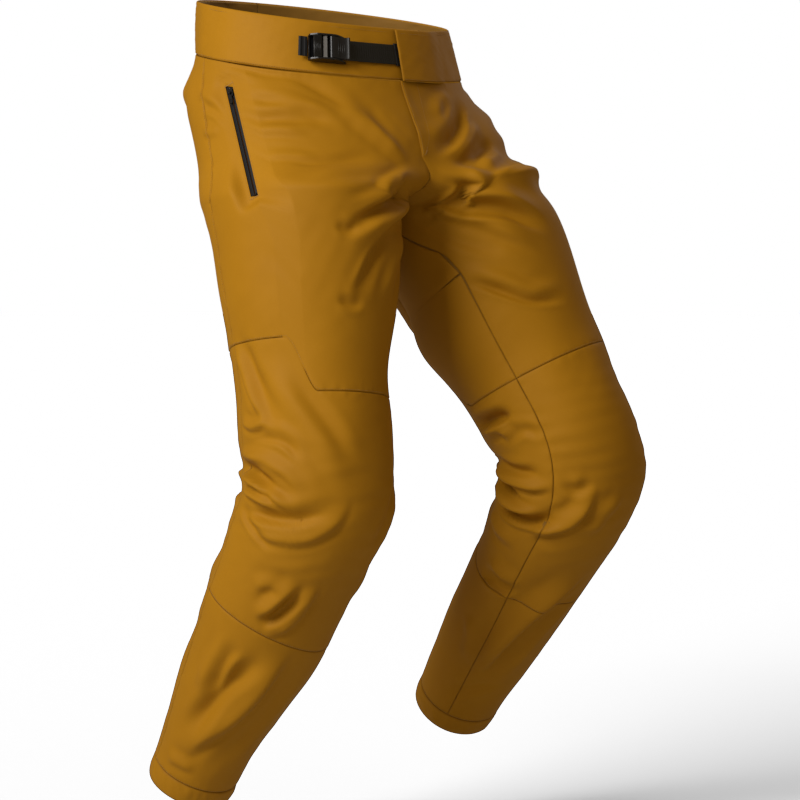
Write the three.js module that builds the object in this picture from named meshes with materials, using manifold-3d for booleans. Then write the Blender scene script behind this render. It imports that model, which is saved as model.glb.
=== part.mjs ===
// Riding trousers with a ratchet waist buckle, millimetres, +Z up, wearer faces -Y, wearer's left is +X.
// The origin is the middle of the waist opening.
import * as THREE from "three";
import { mergeVertices } from "three/addons/utils/BufferGeometryUtils.js";
import Module from "manifold-3d";

// ---- driving dimensions ----
const waistHalfWidth = 166; // half width of the waist opening
const hipHalfWidth = 187; // half width over the hips
const thighHalfWidth = 103.5; // half width of one leg below the crotch
const kneeHalfWidth = 85.5;
const hemHalfWidth = 50;
const rise = 215; // waist edge to crotch
const inseam = 745; // crotch to hem
const kneeDrop = 335; // crotch to knee axis
const bandHeight = 60; // waistband
const clothThickness = 2.4;
const liningThickness = 1.6;
const seamGap = 0.3;
const cuffHeight = 26;
const pocketZipLength = 150;
const flyZipLength = 84;
const strapWidth = 22;
const buckleLength = 46;
const buckleWidth = 31;
const bendZone = 170; // length over which the knee bends
const pose = {
  right: { side: -1, thigh: 8, splay: 5.5, knee: 37, shinSplay: 5 },
  left: { side: 1, thigh: 24, splay: 14.5, knee: 61, shinSplay: 5.5 },
};
const cloth = { color: 0x9a6a1e, roughness: 0.62, metalness: 0 };
const inside = { color: 0x7d5416, roughness: 0.8, metalness: 0 };
const blackPlastic = { color: 0x141416, roughness: 0.45, metalness: 0 };
const blackTape = { color: 0x1a1a1c, roughness: 0.85, metalness: 0 };
const blackMetal = { color: 0x202022, roughness: 0.35, metalness: 0.8 };
const steel = { color: 0xb9babc, roughness: 0.3, metalness: 1 };

// ---- curves ----
const smooth = (x) => {
  const c = Math.min(1, Math.max(0, x));
  return c * c * (3 - 2 * c);
};
const lerp = (a, b, f) => a + (b - a) * f;
const rad = THREE.MathUtils.degToRad;

// monotone cubic through the points
function curve(xs, ys) {
  const n = xs.length;
  const h = [];
  const d = [];
  for (let i = 0; i < n - 1; i++) {
    h.push(xs[i + 1] - xs[i]);
    d.push((ys[i + 1] - ys[i]) / h[i]);
  }
  const m = new Array(n).fill(0);
  m[0] = d[0];
  m[n - 1] = d[n - 2];
  for (let i = 1; i < n - 1; i++)
    if (d[i - 1] * d[i] > 0) {
      const a = 2 * h[i] + h[i - 1];
      const b = h[i] + 2 * h[i - 1];
      m[i] = (a + b) / (a / d[i - 1] + b / d[i]);
    }
  return (x) => {
    const c = Math.min(xs[n - 1], Math.max(xs[0], x));
    let k = 0;
    while (k < n - 2 && c > xs[k + 1]) k++;
    const t = (c - xs[k]) / h[k];
    return (
      (1 + 2 * t) * (1 - t) ** 2 * ys[k] +
      t * (1 - t) ** 2 * h[k] * m[k] +
      t * t * (3 - 2 * t) * ys[k + 1] +
      t * t * (t - 1) * h[k] * m[k + 1]
    );
  };
}

// stations along the garment: path from the crotch level, negative above it
const up = rise / 215;
const down = inseam / 745;
const wide = waistHalfWidth / 166;
const hip = hipHalfWidth / 187;
const thigh = thighHalfWidth / 103.5;
const knee = kneeHalfWidth / 85.5;
const hem = hemHalfWidth / 50;
const stations = [
  -rise,
  -(rise - bandHeight),
  -100 * up,
  -50 * up,
  0,
  100 * down,
  220 * down,
  kneeDrop,
  450 * down,
  580 * down,
  680 * down,
  inseam,
];
const table = (values) => curve(stations, values);
const half = table([166 * wide, 176 * wide, 187 * hip, 166 * hip, 110 * hip, 103.5 * thigh, 89.5 * thigh, 85.5 * knee, 79 * knee, 66 * hem, 55.5 * hem, 50 * hem]);
const centre = table([0, 0, 4, 36, 110 * hip, 107 * hip, 103 * hip, 103 * hip, 103 * hip, 103 * hip, 103 * hip, 103 * hip]);
const depthFront = table([130 * wide, 133 * wide, 134 * hip, 123 * hip, 118 * hip, 106 * thigh, 92.5 * thigh, 93.5 * knee, 84 * knee, 69.5 * hem, 55.5 * hem, 48.5 * hem]);
const depthBack = table([129 * wide, 139 * wide, 151 * hip, 148 * hip, 130 * hip, 108 * thigh, 93 * thigh, 88 * knee, 79 * knee, 66 * hem, 56.5 * hem, 51 * hem]);
const setBack = table([95, 82, 56, 29, 0, 0, 0, 0, 0, 0, 0, 0]);
const power = table([2.04, 2.04, 2.1, 2.06, 2, 2, 2.05, 2.1, 2, 2, 2, 2]);
const lean = table([0.19, 0.17, 0.115, 0.045, 0, 0, 0, 0, 0, 0, 0, 0]);
const hipLevel = -120 * up;
const hipZone = 180;
const legX = centre(100 * down);
const bandEdge = -(rise - bandHeight);

// the bent centre line of one leg
function legAxis(p) {
  const steps = 420;
  const rows = [];
  const at = (s) => {
    const a = smooth((s - hipLevel) / hipZone);
    const k = smooth((s - kneeDrop + bendZone / 2) / bendZone);
    return {
      s,
      pitch: rad(p.thigh * a - p.knee * k),
      roll: rad(p.splay * a + (p.shinSplay - p.splay) * k),
    };
  };
  const along = (r) =>
    new THREE.Vector3(
      p.side * Math.sin(r.roll) * Math.cos(r.pitch),
      -Math.sin(r.pitch),
      -Math.cos(r.pitch) * Math.cos(r.roll),
    );
  const step = (inseam - hipLevel) / steps;
  const c = new THREE.Vector3(p.side * legX, 0, -(hipLevel + rise));
  for (let i = 0; i <= steps; i++) {
    const r = at(hipLevel + i * step);
    if (i) c.addScaledVector(along(rows[i - 1]).add(along(r)), step / 2);
    r.c = c.clone();
    rows.push(r);
  }
  return (s) => {
    const f = Math.min(steps - 1e-6, Math.max(0, (s - hipLevel) / step));
    const i = Math.floor(f);
    const w = f - i;
    const a = rows[i];
    const b = rows[i + 1];
    const r = { pitch: lerp(a.pitch, b.pitch, w), roll: lerp(a.roll, b.roll, w) };
    const d = along(r);
    const u = new THREE.Vector3(Math.cos(r.roll), 0, p.side * Math.sin(r.roll));
    const v = new THREE.Vector3().crossVectors(u, d).normalize();
    if (v.y < 0) v.negate();
    return { c: a.c.clone().lerp(b.c, w), u, v, up: d.clone().negate() };
  };
}
for (const p of Object.values(pose)) p.axis = legAxis(p);

// places where the cloth hangs fuller or lies flatter: path, share round, reach along, reach round, amount outwards
pose.right.fuller = [
  [-100, 0.69, 42, 0.1, 11], [-15, 0.66, 38, 0.09, 5], [200, 0.12, 65, 0.09, -8], [345, 0.13, 30, 0.09, 8],
  [335, 0.61, 45, 0.08, -8], [445, 0.61, 45, 0.09, -5], [530, 0.14, 75, 0.1, 8],
];
pose.left.fuller = [
  [-95, 0.3, 36, 0.09, 15], [16, 0.36, 32, 0.075, -12], [148, 0.88, 50, 0.1, 13], [275, 0.37, 38, 0.09, -5],
  [345, 0.36, 28, 0.09, 6], [330, 0.88, 32, 0.09, -6], [465, 0.87, 100, 0.11, -14],
];
function fullness(leg, p, t) {
  if (p < bandEdge || p > 722 * down) return 0;
  let sum = 0;
  for (const [p0, t0, along, round, amount] of leg.fuller) {
    const dt = Math.abs(t - t0);
    sum += amount * Math.exp(-(((p - p0) / along) ** 2) - (Math.min(dt, 1 - dt) / round) ** 2);
  }
  return sum * smooth((p - bandEdge) / 30) * (1 - smooth((p - 690 * down) / 29));
}

// a point of the garment: path p, share t round from the front edge to the back edge, depth inwards
function point(leg, p, t, depth) {
  const s = leg.side;
  if (t < 0) t = p > 0 ? t + 1 : 0;
  if (t > 1) t = p > 0 ? t - 1 : 1;
  depth -= fullness(leg, p, t);
  const w = half(p) - depth;
  const cx = centre(p);
  const e = 2 / power(p);
  const end = p >= 0 ? Math.PI : Math.acos(-Math.min(1, (cx / w) ** (1 / e)));
  const phi = end * (1 - 2 * t);
  const cs = Math.cos(phi);
  const sn = Math.sin(phi);
  const x = Math.max(cx + Math.sign(cs) * Math.abs(cs) ** e * w, p < 20 ? 0.25 : -1e9);
  const b = (sn > 0 ? depthFront(p) : depthBack(p)) - depth;
  const y = setBack(p) - b * Math.sign(sn) * Math.abs(sn) ** e;
  const q = new THREE.Vector3(s * x, y, -(p + rise) + lean(p) * y);
  if (p < hipLevel) return q;
  const r = leg.axis(p);
  const v = q.clone().sub(new THREE.Vector3(s * legX, 0, -(p + rise)));
  const bent = r.c
    .clone()
    .addScaledVector(r.u, v.x)
    .addScaledVector(r.v, v.y)
    .addScaledVector(r.up, v.z);
  const hold = smooth(x / 90);
  const share = hold + (1 - hold) * smooth(p / (100 * down));
  const out = q.lerp(bent, share);
  if (p < 20 && s * out.x < 0.25) out.x = s * 0.25;
  return out;
}

// ---- solids ----
const wasm = await Module();
wasm.setup();
const parts = new THREE.Group();

function solidOf(geometry) {
  const g = geometry.index ? geometry.toNonIndexed() : geometry.clone();
  const bare = new THREE.BufferGeometry().setAttribute("position", g.getAttribute("position"));
  const merged = mergeVertices(bare, 1e-3);
  const make = (index) =>
    new wasm.Manifold(
      new wasm.Mesh({
        numProp: 3,
        vertProperties: new Float32Array(merged.attributes.position.array),
        triVerts: new Uint32Array(index),
      }),
    );
  const first = make(merged.index.array);
  if (first.volume() > 0) return first;
  const index = Array.from(merged.index.array);
  for (let i = 0; i < index.length; i += 3) [index[i + 1], index[i + 2]] = [index[i + 2], index[i + 1]];
  return make(index);
}

function add(name, solid, look) {
  const m = solid.getMesh();
  const v = new Float32Array(m.numVert * 3);
  for (let i = 0; i < m.numVert; i++) v.set(m.vertProperties.subarray(i * m.numProp, i * m.numProp + 3), i * 3);
  const g = new THREE.BufferGeometry()
    .setAttribute("position", new THREE.BufferAttribute(v, 3))
    .setIndex(new THREE.BufferAttribute(new Uint32Array(m.triVerts), 1));
  g.computeVertexNormals();
  const mesh = new THREE.Mesh(g, new THREE.MeshStandardMaterial(look));
  mesh.name = name;
  parts.add(mesh);
  return solid;
}

// a sheet between two grids of points; wrap closes it into a tube
function sheet(outer, inner, rows, columns, wrap = false) {
  const position = [];
  const index = [];
  const wide = wrap ? columns : columns + 1;
  for (const f of [outer, inner])
    for (let i = 0; i <= rows; i++)
      for (let j = 0; j < wide; j++) {
        const q = f(i / rows, j / columns);
        position.push(q.x, q.y, q.z);
      }
  const layer = (rows + 1) * wide;
  const id = (k, i, j) => k * layer + i * wide + (j % wide);
  const quad = (a, b, c, d) => index.push(a, b, c, a, c, d);
  for (let i = 0; i < rows; i++)
    for (let j = 0; j < columns; j++) {
      quad(id(0, i, j), id(0, i + 1, j), id(0, i + 1, j + 1), id(0, i, j + 1));
      quad(id(1, i, j), id(1, i, j + 1), id(1, i + 1, j + 1), id(1, i + 1, j));
    }
  for (let j = 0; j < columns; j++) {
    quad(id(0, 0, j), id(0, 0, j + 1), id(1, 0, j + 1), id(1, 0, j));
    quad(id(0, rows, j), id(1, rows, j), id(1, rows, j + 1), id(0, rows, j + 1));
  }
  if (!wrap)
    for (let i = 0; i < rows; i++) {
      quad(id(0, i, 0), id(1, i, 0), id(1, i + 1, 0), id(0, i + 1, 0));
      quad(id(0, i, columns), id(0, i + 1, columns), id(1, i + 1, columns), id(1, i, columns));
    }
  const g = new THREE.BufferGeometry();
  g.setAttribute("position", new THREE.Float32BufferAttribute(position, 3));
  g.setIndex(index);
  return solidOf(g);
}

// a right-handed frame: x across, y along, z out
function frameOf(origin, along, out) {
  const y = along.clone().normalize();
  const z = out.clone().addScaledVector(y, -out.dot(y)).normalize();
  const x = new THREE.Vector3().crossVectors(y, z);
  return new THREE.Matrix4().makeBasis(x, y, z).setPosition(origin);
}
const placed = (geometry, frame) => solidOf(geometry.clone().applyMatrix4(frame));
const box = (x0, x1, y0, y1, z0, z1) =>
  new THREE.BoxGeometry(x1 - x0, y1 - y0, z1 - z0).translate((x0 + x1) / 2, (y0 + y1) / 2, (z0 + z1) / 2);
const rod = (radius, x0, x1, y, z, sides = 16) =>
  new THREE.CylinderGeometry(radius, radius, x1 - x0, sides)
    .rotateZ(Math.PI / 2)
    .translate((x0 + x1) / 2, y, z);
// an outline in (first, second) drawn as (y, z) and pushed from x0 to x1
function profileX(outline, x0, x1, holes = []) {
  const shape = new THREE.Shape(outline.map(([a, b]) => new THREE.Vector2(a, b)));
  for (const [cy, cz, r] of holes) shape.holes.push(new THREE.Path().absarc(cy, cz, r, 0, Math.PI * 2, true));
  return new THREE.ExtrudeGeometry(shape, { depth: x1 - x0, bevelEnabled: false, curveSegments: 8 })
    .applyMatrix4(new THREE.Matrix4().makeBasis(new THREE.Vector3(0, 1, 0), new THREE.Vector3(0, 0, 1), new THREE.Vector3(1, 0, 0)))
    .translate(x0, 0, 0);
}
// an outline in (x, z) pushed from y0 to y1
function profileY(outline, y0, y1) {
  const shape = new THREE.Shape(outline.map(([a, b]) => new THREE.Vector2(a, b)));
  return new THREE.ExtrudeGeometry(shape, { depth: y1 - y0, bevelEnabled: false })
    .applyMatrix4(new THREE.Matrix4().makeBasis(new THREE.Vector3(1, 0, 0), new THREE.Vector3(0, 0, 1), new THREE.Vector3(0, -1, 0)))
    .translate(0, y1, 0);
}
const join = (...solids) => solids.reduce((a, b) => a.add(b));

// ---- seams ----
const outSeam = 0.565; // share round the ring
const g = seamGap / 2;
const gapT = 0.0005;
const bandSeam = -(rise - bandHeight);
const kneeSeam = (t) => (230 - 62 * smooth((t - 0.36) / 0.06) + 62 * smooth((t - 0.8) / 0.15)) * (kneeDrop / 335);
const rear = (t) => (1 - Math.cos(2 * Math.PI * (t - 0.25))) / 2;
const bendTop = (t) => kneeDrop - 45 - 40 * rear(t);
const bendBottom = (t) => kneeDrop + 45 + 40 * rear(t);
const shinSeam = (t) => kneeDrop + 160 * down + 10 * Math.cos(2 * Math.PI * t);
const cuffSeam = inseam - cuffHeight;
const innerEdge = (p) => 0.088 * smooth(p / 70);
const hipRows = 15; // rows of cloth from the waistband to the knee seam
const rowPath = (i) => lerp(bandSeam + g, kneeSeam(0.02) - g, i / hipRows);
const gussetFrom = 6;
const gussetShares = [0, 0.085, 0.15, 0.15, 0.085, 0];
const gussetShare = (p) => {
  const i = ((p - rowPath(0)) / (rowPath(hipRows) - rowPath(0))) * hipRows - gussetFrom;
  if (i <= 0 || i >= gussetShares.length - 1) return 0;
  const k = Math.min(gussetShares.length - 2, Math.floor(i));
  return lerp(gussetShares[k], gussetShares[k + 1], i - k);
};
const backEdge = (p) => 1 + innerEdge(p) - gussetShare(p);

// a panel between two seam levels and two lengthwise seams
function panel(leg, top, bottom, t0, t1, rows, columns, depth = 0, thickness = clothThickness) {
  const at = (d) => (u, v) => {
    const nominal = lerp(t0(0, true), t1(0, true), v);
    const a = (typeof top === "function" ? top(((nominal % 1) + 1) % 1) : top) + g;
    const b = (typeof bottom === "function" ? bottom(((nominal % 1) + 1) % 1) : bottom) - g;
    const p = lerp(a, b, u);
    return point(leg, p, lerp(t0(p) + gapT, t1(p) - gapT, v), d);
  };
  return sheet(at(depth), at(depth + thickness), rows, columns);
}

// a spot on the front panel's own facets: row and column may be fractions
function onFront(leg, row, column, depth) {
  const at = (i, j) => {
    const v = j / 10;
    const a = bandSeam + g;
    const b = kneeSeam(lerp(0.02, outSeam, v)) - g;
    const p = lerp(a, b, i / hipRows);
    return point(leg, p, lerp(innerEdge(p) + gapT, outSeam - gapT, v), depth);
  };
  const i = Math.min(hipRows - 1, Math.floor(row));
  const j = Math.min(9, Math.floor(column));
  return at(i, j).lerp(at(i + 1, j), row - i).lerp(at(i, j + 1).lerp(at(i + 1, j + 1), row - i), column - j);
}

// the two legs' cloth
const frontPanels = {};
for (const [label, leg] of Object.entries(pose)) {
  const inner = (p, level) => (level ? 0.02 : innerEdge(p));
  const side = () => outSeam;
  const innerBack = (p, level) => (level ? 1.02 : backEdge(p));
  const legBack = (p, level) => (level ? 1.02 : 1 + innerEdge(p));
  frontPanels[label] = panel(leg, bandSeam, kneeSeam, inner, side, hipRows, 10);
  add(label + "_back_panel", panel(leg, bandSeam, kneeSeam, side, innerBack, hipRows, 9), cloth);
  const gussetPoint = (i, v, d) => {
    const low = Math.min(hipRows - 1, Math.floor(i + 1e-9));
    const at = (row) => {
      const p = rowPath(row);
      if (row === gussetFrom) return point(leg, p, 0, d).lerp(point(leg, p, 1, d), 0.5);
      return point(leg, p, innerEdge(p) - lerp(gussetShare(p) - gapT, gapT, v), d);
    };
    return at(low).lerp(at(low + 1), i - low);
  };
  const gussetSteps = [0.2, 1, 2, 3, 4, 4.8];
  add(
    label + "_thigh_gusset",
    sheet(
      ...[0, clothThickness].map((d) => (u, v) => gussetPoint(gussetFrom + gussetSteps[Math.round(u * 5)], v, d)),
      5,
      3,
    ),
    cloth,
  );
  add(label + "_knee_panel_upper", panel(leg, kneeSeam, bendTop, inner, side, 3, 10), cloth);
  add(label + "_hamstring_panel", panel(leg, kneeSeam, bendTop, side, legBack, 3, 9), cloth);
  add(label + "_knee_bend_front", panel(leg, bendTop, bendBottom, inner, side, 6, 10), cloth);
  add(label + "_knee_bend_back", panel(leg, bendTop, bendBottom, side, legBack, 6, 9), cloth);
  add(label + "_knee_panel_lower", panel(leg, bendBottom, shinSeam, inner, side, 4, 10), cloth);
  add(label + "_calf_panel_upper", panel(leg, bendBottom, shinSeam, side, legBack, 3, 9), cloth);
  add(label + "_shin_panel", panel(leg, shinSeam, cuffSeam, inner, side, 5, 10), cloth);
  add(label + "_calf_panel_lower", panel(leg, shinSeam, cuffSeam, side, legBack, 5, 9), cloth);
  add(
    label + "_hem_cuff",
    sheet(
      ...[-0.6, clothThickness].map((d) => (u, v) => point(leg, lerp(cuffSeam + g, inseam, u), Math.min(0.99999, v), d)),
      2,
      20,
      true,
    ),
    cloth,
  );
}

// ---- waistband: shares round from the front, negative on the wearer's right ----
const bandPoint = (a, p, depth) => {
  const q = point(a < 0 ? pose.right : pose.left, p, Math.abs(a), depth);
  if (Math.abs(a) < 1e-6) q.x = 0;
  return q;
};
const underlap = 0.078;
const tunnelLift = 5.9;
const lift = (a) => tunnelLift * (1 - smooth((a - 0.088) / 0.07));
const spread = (from, to, v) => lerp(from, to, v);
function band(from, to, depth, thickness, columns, raised = () => 0, p0 = -rise, p1 = bandSeam - g) {
  return sheet(
    (u, v) => bandPoint(spread(from, to, v), lerp(p0, p1, u), depth - raised(spread(from, to, v))),
    (u, v) => bandPoint(spread(from, to, v), lerp(p0, p1, u), depth + thickness - raised(spread(from, to, v))),
    2,
    columns,
  );
}
add("right_waistband", band(-1, underlap, 0, clothThickness, 22), cloth);
add("left_waistband", band(0.0008, 1, 0, clothThickness, 22, lift), cloth);
const liningDepth = clothThickness + seamGap;
add("right_waistband_lining", band(-1, underlap, liningDepth, liningThickness, 22, () => 0, -rise + 1, bandSeam - 1), inside);
add("left_waistband_lining", band(0.17, 1, liningDepth, liningThickness, 18, () => 0, -rise + 1, bandSeam - 1), inside);

// ---- zips ----
// deepest point of the cloth's inner side inside a patch of the frame
function lowest(leg, frame, halfAcross, y0, y1, p0, p1, t0, t1) {
  const back = frame.clone().invert();
  let low = 1e9;
  let high = -1e9;
  for (let i = 0; i <= 60; i++)
    for (let j = 0; j <= 60; j++) {
      const q = point(leg, lerp(p0, p1, i / 60), lerp(t0, t1, j / 60), clothThickness).applyMatrix4(back);
      if (Math.abs(q.x) > halfAcross || q.y < y0 || q.y > y1) continue;
      low = Math.min(low, q.z);
      high = Math.max(high, q.z);
    }
  return { low, high };
}
const chain = { gap: 0.65, tooth: 2.6, tape: 11 };
const slider = { length: 11, halfWidth: 4.2, top: [1.35, 2.6], bottom: [-3.2, -1.95], pinY: 6.5, pinZ: 4.5 };
const pullerLength = 16;
function zip(prefix, frame, length, names) {
  const tapeHalf = (s) => {
    const a = (x0, x1) => (s > 0 ? [x0, x1] : [-x1, -x0]);
    return join(
      placed(box(...a(chain.gap, chain.tape), -7, length + 7, -0.8, 0), frame),
      placed(box(...a(chain.gap, chain.tooth), 0, length, -1.6, 1), frame),
      placed(box(...a(chain.gap, chain.tooth + 0.8), -3.2, -0.6, -1.9, 1.9), frame),
      placed(box(...a(chain.gap, chain.tooth + 0.8), length + 0.6, length + 3.2, -1.9, 1.9), frame),
    );
  };
  add(prefix + "_" + names[0], tapeHalf(-1), blackTape);
  add(prefix + "_" + names[1], tapeHalf(1), blackTape);
  const s = slider;
  add(
    prefix + "_slider",
    join(
      placed(box(-s.halfWidth, s.halfWidth, 0.2, s.length, ...s.top), frame),
      placed(box(-s.halfWidth, s.halfWidth, 0.2, s.length, ...s.bottom), frame),
      placed(box(-0.3, 0.3, 0.2, 4, s.bottom[1] - 0.1, s.top[0] + 0.1), frame),
      placed(box(-2.2, -1.15, s.pinY - 1.3, s.pinY + 1.3, s.top[1] - 0.1, s.pinZ + 1), frame),
      placed(box(1.15, 2.2, s.pinY - 1.3, s.pinY + 1.3, s.top[1] - 0.1, s.pinZ + 1), frame),
      placed(rod(0.6, -1.5, 1.5, s.pinY, s.pinZ), frame),
    ),
    blackMetal,
  );
  const arm = [];
  for (let i = 0; i <= 10; i++) {
    const a = Math.PI / 2 + (Math.PI * i) / 10;
    arm.push([s.pinY + 1.55 * Math.cos(a), s.pinZ + 1.55 * Math.sin(a)]);
  }
  const far = s.pinY + pullerLength;
  arm.push([s.pinY + 1, s.pinZ - 1.3], [s.pinY + 3, s.pinZ - 0.7], [far, s.pinZ - 0.7], [far, s.pinZ + 0.7], [s.pinY + 3, s.pinZ + 0.7], [s.pinY + 1, s.pinZ + 1.3]);
  add(
    prefix + "_puller",
    join(
      placed(profileX(arm, -0.8, 0.8, [[s.pinY, s.pinZ, 0.95]]), frame),
      placed(box(-2.6, 2.6, s.pinY + 4, far, s.pinZ - 0.7, s.pinZ + 0.7), frame),
    ),
    blackMetal,
  );
}
function surfaceFrame(leg, pTop, tTop, pBottom, tBottom) {
  const a = point(leg, pTop, tTop, 0);
  const b = point(leg, pBottom, tBottom, 0);
  const p = (pTop + pBottom) / 2;
  const t = (tTop + tBottom) / 2;
  const dp = point(leg, p + 3, t, 0).sub(point(leg, p - 3, t, 0));
  const dt = point(leg, p, t + 0.01, 0).sub(point(leg, p, t - 0.01, 0));
  const out = new THREE.Vector3().crossVectors(dp, dt).normalize();
  const mid = point(leg, p, t, 0);
  const core = point(leg, p, t, 20);
  if (out.dot(core.sub(mid)) > 0) out.negate();
  return { frame: frameOf(a, b.clone().sub(a), out), length: b.distanceTo(a) };
}
const shifted = (frame, z) => frame.clone().multiply(new THREE.Matrix4().makeTranslation(0, 0, z));
const pocketT = 0.462;
const pocketTop = -128 * up;
const zipFrames = {};
for (const [label, leg] of Object.entries(pose)) {
  const { frame } = surfaceFrame(leg, pocketTop, pocketT + 0.008, pocketTop + pocketZipLength, pocketT - 0.004);
  const { low, high } = lowest(leg, frame, 12, -9, pocketZipLength + 9, pocketTop - 20, pocketTop + pocketZipLength + 20, 0.4, 0.53);
  const seat = shifted(frame, low - 0.9);
  zipFrames[label + "_pocket"] = seat;
  const slot = placed(box(-4.9, 4.9, -4.2, pocketZipLength + 4.2, -1, high - low + 12), seat);
  add(label + "_front_panel", frontPanels[label].subtract(slot), cloth);
  zip(label + "_pocket_zip", seat, pocketZipLength, label === "right" ? ["front_tape", "rear_tape"] : ["rear_tape", "front_tape"]);
  const bag = (rows, columns, d0, d1) =>
    sheet(
      (u, v) => onFront(leg, rows[Math.round(u * (rows.length - 1))], columns[Math.round(v * (columns.length - 1))], d0),
      (u, v) => onFront(leg, rows[Math.round(u * (rows.length - 1))], columns[Math.round(v * (columns.length - 1))], d1),
      rows.length - 1,
      columns.length - 1,
    );
  add(
    label + "_pocket_bag",
    bag([1, 2, 3, 4, 5, 6, 7, 8], [4, 5, 6, 7], 2.8, 5.8).subtract(bag([1.06, 2, 3, 4, 5, 6, 7, 7.94], [4.06, 5, 6, 7.15], 3.7, 4.9)),
    inside,
  );
}
// fly zip, behind the front edges
{
  const p0 = bandSeam + 8;
  const a = point(pose.left, p0, 0, 0);
  const b = point(pose.left, p0 + flyZipLength, 0, 0);
  a.x = b.x = 0;
  const frame = frameOf(a, b.clone().sub(a), new THREE.Vector3(0, -1, 0));
  const { low } = lowest(pose.left, frame, 24, -8, flyZipLength + 8, bandSeam, p0 + flyZipLength + 10, 0, 0.09);
  const seat = shifted(frame, low - 6.4);
  zipFrames.fly = seat;
  const leftIsPlusX = new THREE.Vector3().setFromMatrixColumn(seat, 0).x > 0 ? 1 : -1;
  const flip = (outline) => (leftIsPlusX > 0 ? outline : outline.map(([x, z]) => [-x, z]).reverse());
  zip("fly_zip", seat, flyZipLength, leftIsPlusX > 0 ? ["right_tape", "left_tape"] : ["left_tape", "right_tape"]);
  const y0 = -6;
  const y1 = flyZipLength + 6;
  add("fly_facing", placed(profileY(flip([[6, 0.3], [12, 0.3], [12, 4.6], [23, 4.6], [23, 6], [6, 6]]), y0, y1), seat), inside);
  add(
    "fly_shield",
    placed(profileY(flip([[-23, 4.6], [-14.2, 4.6], [-14.2, -5.4], [13, -5.4], [13, -3.8], [-12.6, -3.8], [-12.6, 6], [-23, 6]]), y0, y1), seat),
    inside,
  );
}

// ---- ladder strap and ratchet buckle ----
const strapP = -(rise - bandHeight / 2);
const buckleShare = 0.186; // middle of the buckle, on the wearer's right
const buckleRaise = 6.8; // strap above the band at the buckle
const onBand = (a, out, p = strapP) => bandPoint(a, p, -out);
const arcPoints = [onBand(-buckleShare, buckleRaise), onBand(-0.03, 2.1), onBand(0.06, 1.9)];
const slope = lean(strapP);
const arcUp = new THREE.Vector3(0, -slope, 1).normalize();
const flatX = new THREE.Vector3(1, 0, 0);
const flatY = new THREE.Vector3().crossVectors(arcUp, flatX);
const [f1, f2, f3] = arcPoints.map((q) => new THREE.Vector2(q.dot(flatX), q.dot(flatY)));
const det = 2 * (f1.x * (f2.y - f3.y) + f2.x * (f3.y - f1.y) + f3.x * (f1.y - f2.y));
const sq = (v) => v.x * v.x + v.y * v.y;
const cu = (sq(f1) * (f2.y - f3.y) + sq(f2) * (f3.y - f1.y) + sq(f3) * (f1.y - f2.y)) / det;
const cv = (sq(f1) * (f3.x - f2.x) + sq(f2) * (f1.x - f3.x) + sq(f3) * (f2.x - f1.x)) / det;
const height = arcPoints[0].dot(arcUp);
const arcCentre = new THREE.Vector3().addScaledVector(flatX, cu).addScaledVector(flatY, cv).addScaledVector(arcUp, height);
const arcRadius = arcPoints[0].distanceTo(arcCentre);
const angleOf = (q) => Math.atan2(q.clone().sub(arcCentre).dot(flatX), -q.clone().sub(arcCentre).dot(flatY));
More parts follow.
